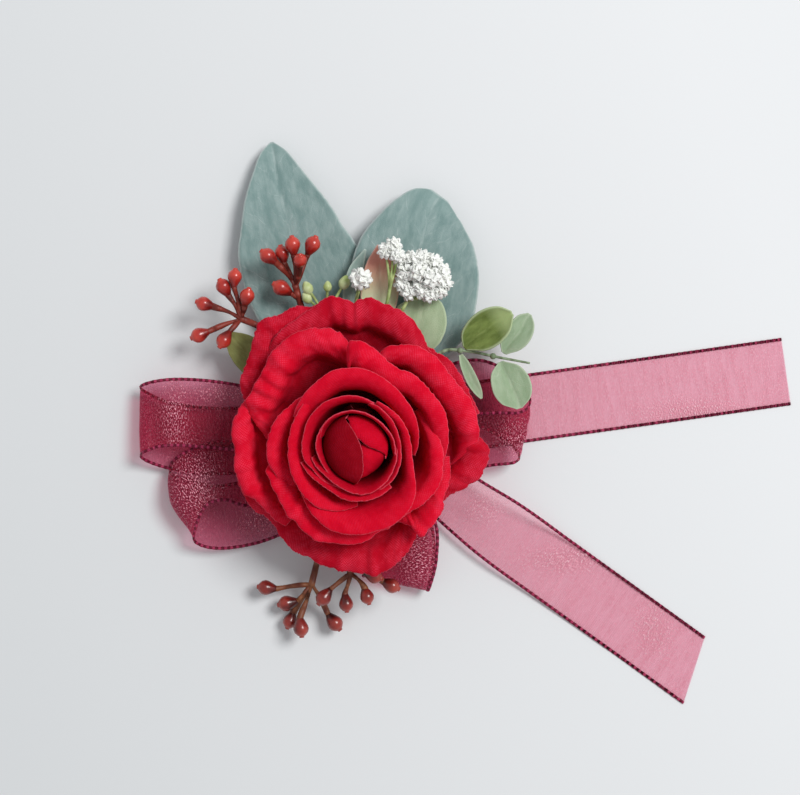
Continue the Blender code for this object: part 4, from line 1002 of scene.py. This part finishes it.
# Name, ring, how far each side is tucked in or out (for the bud, the directions of its sides),
# the rim as (direction, distance from the axis, height above the core's foot, width of the
# rolled lip), and pinched folds as (direction, depth, width).
PETALS = [
    ("bud_dome", "bud", (104, 270), [
        (112, 9.4, 24.6, 0), (106, 8.6, 25.4, 0), (98, 6.4, 26.2, 0), (84, 4.4, 26.8, 0),
        (63, 2.8, 27.2, 0), (-15, 2, 27.3, 0), (-63, 4.5, 26.8, 0), (-79, 6.9, 26, 0),
        (-89, 8.6, 24.8, 0)], []),
    ("bud_curl", "heart", (108, -18), [
        (104, 8.4, 23.8, 0.45), (106, 6.5, 25.2, 0.45), (101, 4.7, 25.7, 0.45),
        (74, 3.5, 25.9, 0.45), (29, 3.6, 25.7, 0.45), (3, 6.2, 24.4, 0.45), (-6, 8, 22.8, 0.45)],
        []),
    ("bud_fold", "heart", (14, -94), [
        (10, 7.4, 21.4, 0.9), (25, 5.3, 23, 0.9), (47, 3.5, 24, 0.9), (76, 1.7, 24.6, 0.9),
        (-108, 1.3, 24.6, 0.9), (-90, 4.6, 24, 0.9), (-84, 7.2, 22.4, 0.9)], []),
    ("ring1_a", "ring1", (-0.5, -0.5), [
        (-6, 11.1, 24.6, 0.8), (19, 10.9, 25.5, 1), (42, 10.8, 26, 1.2), (61, 11.1, 26.2, 1.2),
        (80, 11.6, 26.3, 1.3), (98, 12, 26.3, 1.3), (115, 12.1, 26.1, 1.2),
        (130, 12.2, 25.8, 1.2), (145, 11.9, 25.4, 1), (159, 11.1, 24.8, 0.8)], []),
    ("ring1_b", "ring1", (0.5, -0.5), [
        (135, 12.1, 23.8, 0.8), (149, 12, 25.2, 1), (163, 11.8, 25.6, 1.2),
        (176, 11.2, 25.7, 1.2), (190, 10.4, 25.6, 1), (206, 10, 25.2, 0.9), (222, 9.8, 24.4, 0.8),
        (241, 9.6, 23.4, 0.6)], []),
    ("ring1_c", "ring1", (0.5, 0.5), [
        (188, 12.8, 23.8, 0.9), (200, 11.9, 25, 1.1), (232, 10.5, 25.8, 1.4),
        (250, 10.6, 26, 1.5), (265, 11.2, 26, 1.5), (280, 11.7, 26, 1.6), (297, 11.7, 26, 1.5),
        (315, 11.5, 25.9, 1.3), (332, 11.3, 25.7, 1.2), (349, 11.3, 25.2, 1),
        (365, 11.4, 24.2, 0.9)], []),
    ("ring2_a", "ring2", (-0.5, -0.4), [
        (-70, 12.8, 23, 1), (-51, 12.7, 24, 1.6), (-33, 12.8, 24.6, 1.8), (-16, 12.7, 24.8, 1.9),
        (0, 12.5, 24.8, 2), (18, 12.5, 24.8, 2), (34, 13, 24.8, 2), (49, 13.5, 24.7, 2),
        (63, 13.9, 24.4, 1.8), (76, 14, 23.8, 1.2)], []),
    ("ring2_b", "ring2", (0.4, -0.5), [
        (70, 14.4, 23.6, 1.2), (86, 15.4, 24.6, 2.4), (101, 16, 24.8, 2.8),
        (114, 16.3, 24.9, 2.9), (126, 16.5, 24.9, 3), (139, 16.3, 24.9, 2.9),
        (152, 16, 24.9, 2.8), (167, 15.5, 24.8, 2.7), (179, 15.3, 24.6, 2.6),
        (190, 14.7, 24.4, 2.4), (200, 13.4, 24.4, 2.2), (213, 12.7, 24.4, 1.2),
        (226, 12.1, 24.3, 1), (252, 11.4, 23.4, 0.8)], []),
    ("ring2_c", "ring2", (0.5, 0.5), [
        (192, 16.1, 22.8, 1.2), (205, 14.8, 24, 1.9), (219, 13.7, 24.4, 2.1),
        (246, 13.3, 24.6, 2.4), (256, 13.7, 24.7, 2.5), (269, 13.7, 24.8, 2.5),
        (283, 13.8, 24.8, 2.4), (299, 13.9, 24.4, 2.2), (314, 14, 23.6, 1.4)], []),
    ("ring3_a", "ring3", (0.5, 0.5), [
        (-12, 16.4, 15.4, 1.4), (0, 16.9, 17.2, 1.8), (12, 17.5, 18.8, 2.4),
        (24, 18.2, 20.4, 4.8), (37, 18.9, 21.2, 5.1), (52, 19.8, 22, 5.5), (64, 20.8, 22.3, 6.2),
        (76, 21.9, 22.4, 6.7), (87, 22.7, 22.5, 7.1), (97, 23, 22.6, 7.2), (107, 23.1, 22.6, 7.1),
        (116, 22.5, 22.6, 6.7), (126, 21.8, 22.5, 6.2), (135, 21.3, 22, 5.5), (146, 20.5, 21, 5),
        (154, 20, 20, 2.8)], []),
    ("ring3_b", "ring3", (-0.5, -0.5), [
        (126, 20.3, 19.6, 2.2), (137, 19.8, 21.4, 2.6), (148, 19.6, 22.4, 4),
        (159, 19.5, 22.7, 4.2), (171, 19.3, 22.9, 4.4), (184, 19.3, 23, 4.4),
        (194, 19.4, 23, 4.4), (205, 19.4, 23, 4.3), (216, 19.5, 22.9, 4.2),
        (226, 19.5, 22.7, 4.1), (236, 19.3, 22.3, 4), (246, 18.6, 21.7, 2.9),
        (257, 17.7, 20.8, 2.8), (270, 16.6, 19, 2)], []),
    ("ring3_c", "ring3", (0.5, -0.5), [
        (219, 20.3, 19.6, 3), (229, 21.3, 21, 4.7), (237, 22.1, 22, 5.7), (246, 23, 22.4, 6.5),
        (254, 23.5, 22.6, 6.8), (264, 23.5, 22.7, 7), (273, 23.4, 22.7, 7),
        (283, 23.1, 22.8, 6.9), (293, 23, 22.9, 6.8), (302, 22.5, 23.1, 6.4),
        (311, 22, 23.2, 5.9), (319, 20.9, 23.3, 5.3), (329, 19.1, 23.4, 3.8),
        (354, 15.5, 23.7, 2.4), (367, 15.3, 23.8, 2.9), (383, 15.3, 23.8, 2.6),
        (398, 15.2, 23.8, 2.5), (414, 15, 23.5, 2.4), (428, 14.9, 22.8, 1.4)], []),
    ("ring4_a", "ring4", (0.5, -0.3), [
        (-20, 23.6, 11.4, 3.6), (-11, 24.6, 13.6, 4), (-1, 25.3, 15.4, 4.6), (7, 25.5, 16.8, 5.2),
        (16, 26.1, 17.8, 5.8), (25, 26.1, 18.2, 6.2), (35, 25.7, 18.4, 6.4),
        (44, 25.6, 18.5, 6.6), (53, 25.5, 18.6, 8), (60, 24.8, 18.7, 8.3), (68, 25.1, 18.9, 8.8),
        (76, 26.8, 19.2, 9.5), (83, 28.6, 19.4, 10.1), (89, 29.7, 19.5, 10.5),
        (94, 29.8, 19.2, 8.7), (96, 27.8, 18.4, 7.5), (97, 24.8, 17, 6)], [(88, 0.5, 1.2)]),
    ("ring4_b", "ring4", (0.4, -0.4), [
        (124, 18.6, 12.6, 2), (132, 19.4, 15.4, 3), (139, 21, 17, 4), (147, 22.1, 17.8, 4.8),
        (156, 23.4, 18.1, 5.2), (164, 24.6, 18.2, 5.6), (172, 25.2, 18.2, 5.8),
        (181, 25.7, 18.2, 5.7), (189, 25.6, 18.1, 5.5), (195, 25.1, 17.8, 5.3),
        (203, 24.3, 17.2, 5), (212, 23.5, 16, 4.6), (220, 22.4, 14, 3.6)], []),
    ("ring4_c", "ring4", (0.4, 0.4), [
        (184, 24, 12, 3.4), (191, 25.2, 14.6, 4.2), (196, 27.1, 16.2, 4.7), (202, 26.8, 17, 5.2),
        (209, 26.7, 17.5, 5.6), (216, 26.7, 17.8, 6), (223, 27.6, 17.9, 6.3),
        (229, 27.3, 18, 6.4), (235, 27.9, 18, 6.6), (245, 28.9, 17.9, 6.8),
        (251, 28.5, 17.8, 6.7), (260, 28.1, 17.6, 6.5), (268, 27.8, 17.1, 6.2),
        (275, 27.2, 16.2, 5.7), (281, 26.1, 15, 5.2), (290, 24.6, 13.4, 4), (299, 23.4, 11.6, 3)],
        [(206, 0.7, 1.1), (216, 0.7, 1.1), (226, 0.8, 1.2), (236, 0.6, 1.2), (246, 0.5, 1.3)]),
    ("ring4_d", "ring4", (-0.4, -0.4), [
        (281, 26, 12.6, 3), (289, 25.6, 14.8, 3.6), (299, 24, 16.4, 4), (309, 23.7, 17.6, 4.4),
        (317, 24.3, 18.1, 4.6), (325, 24.9, 18.4, 4.8), (333, 25.2, 18.5, 4.8),
        (341, 25.1, 18.5, 4.8), (350, 24.3, 18.4, 4.6), (357, 23.8, 18.1, 4.4),
        (364, 23, 17.2, 4), (379, 20.6, 14, 2.8), (388, 19.6, 12, 2.2)], []),
    ("ring5_a", "ring5", (0.4, 0.3), [
        (-20, 30.6, 6.4, 5), (-11, 32.4, 8, 5.6), (-3, 33.5, 9.6, 6.5), (4, 34.1, 11.4, 7.5),
        (11, 34, 12.6, 8.4), (18, 33.9, 12.9, 8.7), (23, 33.4, 13.1, 9), (46, 32.5, 13.6, 8.6),
        (51, 32.4, 13.7, 8.4), (57, 32.1, 13.8, 8.2), (63, 31.2, 13.8, 7.9),
        (69, 29.7, 13.7, 7.6), (74, 27.7, 13, 7), (77, 25, 11.8, 6.4), (83, 23.6, 9.6, 5)],
        [(20, 0.5, 1.6), (6, 0.7, 1.5), (47, 0.4, 1.6)]),
    ("ring5_b", "ring5", (-0.3, -0.4), [
        (92, 24.7, 10.4, 6.5), (96, 28.6, 12.2, 9.6), (100, 31.5, 13.2, 11),
        (105, 33.4, 13.6, 11.4), (111, 34.6, 13.7, 10.4), (117, 35.4, 13.7, 9.6),
        (122, 35.8, 13.7, 9.7), (127, 35.8, 13.7, 9.2), (133, 35.3, 13.7, 9),
        (138, 34.9, 13.6, 8.9), (143, 33.6, 13.4, 9), (149, 33.5, 13, 9.2),
        (156, 33.5, 12.6, 9.1), (161, 33.4, 12.2, 8.3), (166, 32.0, 11.8, 6.6),
        (171, 29.8, 11.0, 5.2), (176, 28, 9.8, 4.2), (181, 26.8, 8.2, 3.6)],
        [(134, 0.7, 1.3), (144, 0.8, 1.2), (151, 1.3, 1.3), (159, 1.1, 1.5), (112, 0.4, 1.6)]),
    ("ring5_c", "ring5", (0.4, 0.4), [
        (158, 33.4, 9.4, 4.875), (164, 35, 11.2, 5.55), (169, 35.7, 12.2, 5.146),
        (174, 35.8, 12.6, 5.394), (179, 35.5, 12.8, 5.58), (185, 34.9, 12.8, 5.642),
        (189, 35.5, 12.8, 5.704), (201, 35.6, 12.7, 5.456), (209, 33.9, 11.8, 4.96),
        (215, 33.5, 10.6, 4.65), (222, 33.3, 9, 5.1), (230, 32.8, 7.4, 4.5)],
        [(178, 0.5, 1.2), (192, 0.8, 1.2), (204, 0.7, 1.2)]),
    ("ring5_d", "ring5", (0.3, -0.4), [
        (286, 25.6, 6.6, 3.6), (300, 27.8, 10, 5), (303, 30.3, 11.2, 5.6), (304, 32.3, 12, 6.1),
        (308, 31.8, 12, 6.6), (318, 30.9, 12.3, 6.6), (323, 30.3, 12.2, 6.1),
        (326, 28.9, 11.9, 5.6), (337, 27.9, 9.6, 4.6), (348, 26.4, 7.6, 3.8)], [(304, 0.5, 1.0)]),
    ("ring6_a", "ring6", (0.5, 0.5), [
        (39, 29.8, 4.4, 8), (49, 31.3, 6, 8.7), (54, 33, 7, 9.3), (58, 34.4, 7.6, 9.7),
        (63, 36.1, 7.8, 9.9), (72, 38, 8, 10), (81, 39.2, 8, 10), (86, 40, 8, 10),
        (90, 39.1, 7.4, 10), (92, 38.2, 7, 10), (95, 38.9, 7.5, 10), (98, 40.1, 8, 9.9),
        (102, 41, 8.2, 9.7), (106, 40.5, 8.2, 9.5), (110, 39.4, 8.2, 9.3), (115, 38.9, 8.2, 9),
        (126, 37.9, 8.4, 8.5), (132, 37.3, 8.2, 8.3), (138, 36.1, 7.6, 7.9),
        (144, 34.2, 6.6, 7.6)],
        [(101, 0.7, 1.0), (95.5, 0.9, 1.0), (91, 0.8, 0.9), (70, 0.4, 1.6)]),
    ("ring6_b", "ring6", (-0.5, 0.3), [
        (109, 39.2, 4.4, 8), (113, 40, 5.6, 8.5), (116, 41.4, 6.2, 8.9), (123, 41.7, 6.6, 9.3),
        (131, 43.6, 6.8, 9.4), (135, 42.4, 6.9, 9.3), (138, 40.9, 6.9, 9.1), (153, 38, 6.2, 8.6),
        (158, 36.8, 5.6, 8.3), (163, 34.9, 4.6, 8)], [(128, 0.5, 1.2)]),
    ("ring6_c", "ring6", (0.3, 0.5), [
        (191, 36.8, 3.2, 8), (197, 37.3, 4.4, 8.4), (203, 37.4, 5, 8.8), (210, 37.5, 5.4, 9),
        (216, 36.6, 5.6, 9), (222, 35.5, 5.8, 9), (237, 37.6, 5.6, 8.5), (243, 38.3, 5.2, 8.2),
        (247, 38, 4.4, 8)], [(216, 0.5, 1.4)]),
    ("ring6_d", "ring6", (-0.4, 0.3), [
        (235, 36.3, 3.2, 8), (241, 37.5, 4.4, 8.3), (251, 38.5, 5.4, 8.9), (260, 38.9, 5.8, 9),
        (266, 38.7, 5.9, 9), (275, 39.8, 6.1, 8.8), (279, 39.6, 6.2, 8.7), (283, 38.8, 6.2, 8.5),
        (288, 37.4, 6.1, 8.3), (292, 36, 5.8, 8.2), (296, 34.4, 5.2, 8.1), (300, 33, 4.2, 8)],
        [(262, 0.5, 1.3), (276, 0.7, 1.2)]),
    ("ring6_e", "ring6", (0.4, 0.5), [
        (318, 29.8, 6, 8), (326, 30.4, 7.6, 8.4), (332, 32, 8.6, 8.7), (341, 35.6, 9.2, 9.2),
        (350, 37.3, 9.3, 9.3), (354, 37.2, 9.2, 9.2), (357, 36.1, 9, 9), (360, 34.2, 8.4, 8.7),
        (367, 30.4, 6, 8)], [(356, 0.8, 1.4), (342, 0.5, 1.4)]),
    ("ring6_f", "ring6", (-0.6, -0.6), [
        (10, 34.6, 4.4, 7.5), (17, 33.9, 6, 7.7), (25, 33.7, 6.6, 7.9), (31, 33.7, 6.8, 8),
        (36, 33.6, 6.8, 8), (41, 33.5, 6.6, 7.9), (46, 32.7, 6, 7.7), (52, 31.9, 4.8, 7.5)], []),
]

# Plain weave: real threads lie 0.3 mm apart, drawn here at 0.72 mm so that they show as the fine
# pinkish grain of the cloth, its crossings painted pink as grain and painted highlight, more
# towards the rims.  The starch leaves it matt.  Painted shade darkens each petal towards its
# foot, deep in the cup, and the bud most.
THREAD = 0.72
petal_cloth, tree = start_material("starched_woven_polyester")
flat = add(tree, "UVMap", {"uv_map": "cut"})
bent = add(tree, "TexNoise", {"Vector": flat, "Scale": 0.5, "Detail": 2.0})
swayed = add(tree, "VectorMath", {"operation": "MULTIPLY_ADD", 0: bent.node.outputs["Color"],
    1: (0.5, 0.5, 0.0), 2: flat})
warp = add(tree, "TexWave", {"bands_direction": "X", "Vector": swayed,
    "Scale": 2 * math.pi / (20 * THREAD)})
weft = add(tree, "TexWave", {"bands_direction": "Y", "Vector": swayed,
    "Scale": 2 * math.pi / (20 * THREAD)})
passing = add(tree, "Math", {"operation": "SUBTRACT", 0: warp, 1: weft})
crossing = add(tree, "Math", {"operation": "ABSOLUTE", 0: passing})
plain = add(tree, "Attribute", {"attribute_name": "weave"})
blotches = add(tree, "TexNoise", {"Vector": flat, "Scale": 0.2, "Detail": 3.0, "Roughness": 0.6})
patch = add(tree, "MapRange", {0: blotches, 1: 0.4, 2: 0.62, 3: 0.15, 4: 1.0})
shown = add(tree, "Math", {"operation": "MULTIPLY", 0: plain, 1: patch})
bloom = add(tree, "Math", {"operation": "MULTIPLY", 0: shown, 1: crossing})
# The pink on the weave's crossings is the cloth's grain with a painted highlight on its raised
# threads.
grain_and_highlight = add(tree, "Math", {"operation": "MULTIPLY", 0: bloom, 1: 0.55})
cloudy = add(tree, "Mix", {0: blotches, 6: linear("#c80320"),
    7: linear("#f00c32")})
# Painted shade: towards each petal's foot the red is drawn down to a near black crimson.
depth = add(tree, "Attribute", {"attribute_name": "unshaded"})
shade_painted = add(tree, "Mix", {0: depth, 6: linear("#5e0107"), 7: cloudy})
woven = add(tree, "Mix", {0: grain_and_highlight, 6: shade_painted, 7: linear("#f2506c")})
edge = add(tree, "Attribute", {"attribute_name": "rim"})
fuzz = add(tree, "TexNoise", {"Vector": flat, "Scale": 1.6, "Detail": 2.0})
frayed = add(tree, "Math", {"operation": "MULTIPLY_ADD", 0: fuzz, 1: 0.5, 2: edge})
fray = add(tree, "MapRange", {0: frayed, 1: 0.24, 2: 0.52, 3: 0.5, 4: 0.0})
cut = add(tree, "Mix", {0: fray, 6: woven, 7: linear("#f4687e")})
relief = add(tree, "Bump", {"Strength": 0.4, "Distance": 0.00015, "Height": crossing})
starched = add(tree, "BsdfPrincipled", {"Base Color": cut, "Roughness": 0.8,
    "Specular IOR Level": 0.04, "Subsurface Weight": 0.15, "Subsurface Radius": (1.0, 0.08, 0.1),
    "Subsurface Scale": 0.0018, "Normal": relief})
add(tree, "OutputMaterial", {"Surface": starched})


def ease(value, low, high):
    """0 below low, 1 above high and a smooth step between."""
    step = np.clip((value - low) / (high - low), 0.0, 1.0)
    return step * step * (3 - 2 * step)


def sections(ring, tuck, rim, columns):
    """For each column of a petal, the points that its surface passes from the core to the rim."""
    glued, foot_radius, foot_height, inner, crest, full = RINGS[ring]
    path = smooth_path([(*polar(a, r, h), lip) for a, r, h, lip in rim], columns + 1)
    x, y, high, lip = path.T
    across = np.linspace(0.0, 1.0, columns + 1)
    if ring in ("bud", "heart"):
        turn = np.interp(across, (0, 1), tuck)
        stand = np.interp(turn, *np.array(BUD_WALL).T) - lip
        turn = np.radians(turn)
        out = np.stack([np.cos(turn), np.sin(turn)])
        gap = np.stack([x, y]) - out * stand
        crown = 0.24 * np.linalg.norm(gap, axis=0)
        spring = BUD_SPRING - lip
        span = high - spring
        keys = [(*out * GLUE_RADIUS, glued + 0 * x), (*out * foot_radius, foot_height + 0 * x),
                (*out * (stand - 0.5), BUD_WAIST + 0 * x), (*out * stand, spring),
                (*out * stand + gap * 0.22, spring + span * 0.45 + crown * 0.7),
                (*out * stand + gap * 0.64, spring + span * 0.82 + crown * 0.6), (x, y, high)]
        return [np.stack(key, axis=1) for key in keys]
    reach = np.hypot(x, y)
    turn = np.unwrap(np.arctan2(y, x))
    middle = (turn[0] + turn[-1]) / 2
    low = middle + (turn - middle) * 0.62
    shift = np.interp(across, (0, 1), tuck)
    wall = reach - lip
    shoulder = high - lip * (inner + 0.34) - 0.8
    belly = foot_radius + (wall - foot_radius) * full + shift
    keys = [(GLUE_RADIUS + 0 * x, glued + 0 * x, low),
            (foot_radius + 0.5 * shift, foot_height + 0 * x, low),
            (belly, foot_height + (shoulder - foot_height) * 0.5, low + (turn - low) * 0.6),
            (wall, shoulder, turn), (reach - 0.76 * lip, high - inner * lip, turn),
            (reach - 0.36 * lip, high - crest * lip, turn), (reach, high, turn)]
    return [np.stack([r * np.cos(a), r * np.sin(a), h], axis=1) for r, h, a in keys]


def petal(name, ring, tuck, rim, folds, seed):
    """One petal: a smooth surface through its sections, creased, and ragged at its rim."""
    columns, rows, ragged, crease, weave, unshaded = FINISH[ring]
    keys = np.array(sections(ring, tuck, rim, columns))
    place = np.stack([smooth_path(keys[:, k], rows + 1) for k in range(columns + 1)], axis=1)
    length = np.linalg.norm(np.diff(place, axis=0), axis=2).sum(axis=0)
    wide = np.linalg.norm(np.diff(place, axis=1), axis=2)
    u = np.concatenate([np.zeros((rows + 1, 1)), np.cumsum(wide, axis=1)], axis=1)
    u -= u[:, -1:] / 2
    s = np.linspace(0.0, 1.0, rows + 1)[:, None] + 0 * u
    # The cut rim is nibbled: each column ends a little short of its full length.
    nibble = np.abs(drift(u[-1] / 2.2, 0 * u[-1], seed))
    nibble += 0.6 * np.abs(drift(u[-1] / 0.7, 0 * u[-1], seed + 3))
    row = rows * (s - ragged * nibble / length * s ** 8)
    under = np.clip(row.astype(int), 0, rows - 1)
    part = (row - under)[..., None]
    column = np.arange(columns + 1)[None, :]
    place = place[under, column] * (1 - part) + place[under + 1, column] * part
    normal = np.cross(np.gradient(place, axis=1), np.gradient(place, axis=0))
    normal /= np.maximum(np.linalg.norm(normal, axis=2, keepdims=True), 1e-6)
    v = s * length
    free = ease(s, 0.45, 0.85)
    broad, tight, grain = (drift((u / a).ravel(), (v / b).ravel(), seed + c).reshape(u.shape)
                           for a, b, c in ((8.0, 9.0, 7), (3.2, 12.0, 9), (0.9, 0.9, 11)))
    shift = crease * free * (1.2 * broad + 0.3 - 1.1 * np.abs(tight)) + 0.07 * free * grain
    turn = np.degrees(np.arctan2(place[..., 1], place[..., 0]))
    radius = np.hypot(place[..., 0], place[..., 1])
    for direction, depth, width in folds:
        aside = np.radians((turn - direction + 180) % 360 - 180) * radius
        shift -= depth * ease(s, 0.62, 0.9) * np.exp(-(aside / width) ** 2)
    place += normal * shift[..., None]
    lean = place[..., 2] * ease(s, 0.0, 0.35)
    place[..., 0] += ROSE_LEAN[0] * lean
    place[..., 1] += ROSE_LEAN[1] * lean
    place[..., 2] += CORE_BOTTOM
    side = np.minimum(u - u[:, :1], u[:, -1:] - u)
    # Painted highlight on the weave grows towards the rim; painted shade grows towards the foot.
    values = {"rim": np.minimum(side, (1 - s) * length),
              "weave": weave * (0.3 + 0.7 * ease(s, 0.5, 0.95)),
              "unshaded": unshaded * ease(s, 0.36, 0.84)}

    def form(t, along):
        at = (np.rint(along * rows).astype(int), np.rint((t + 1) / 2 * columns).astype(int))
        return place[at], np.stack([u[at], v[at]], axis=1), {k: a[at] for k, a in values.items()}

    cloth(f"petal_cloth_{name}", columns, rows, form, PETAL_THICKNESS, petal_cloth, "rose_cloth",
          f"rose_petal_{name}")


for count, (name, ring, tuck, rim, folds) in enumerate(PETALS):
    petal(name, ring, tuck, rim, folds, 3.7 * count + 0.5)
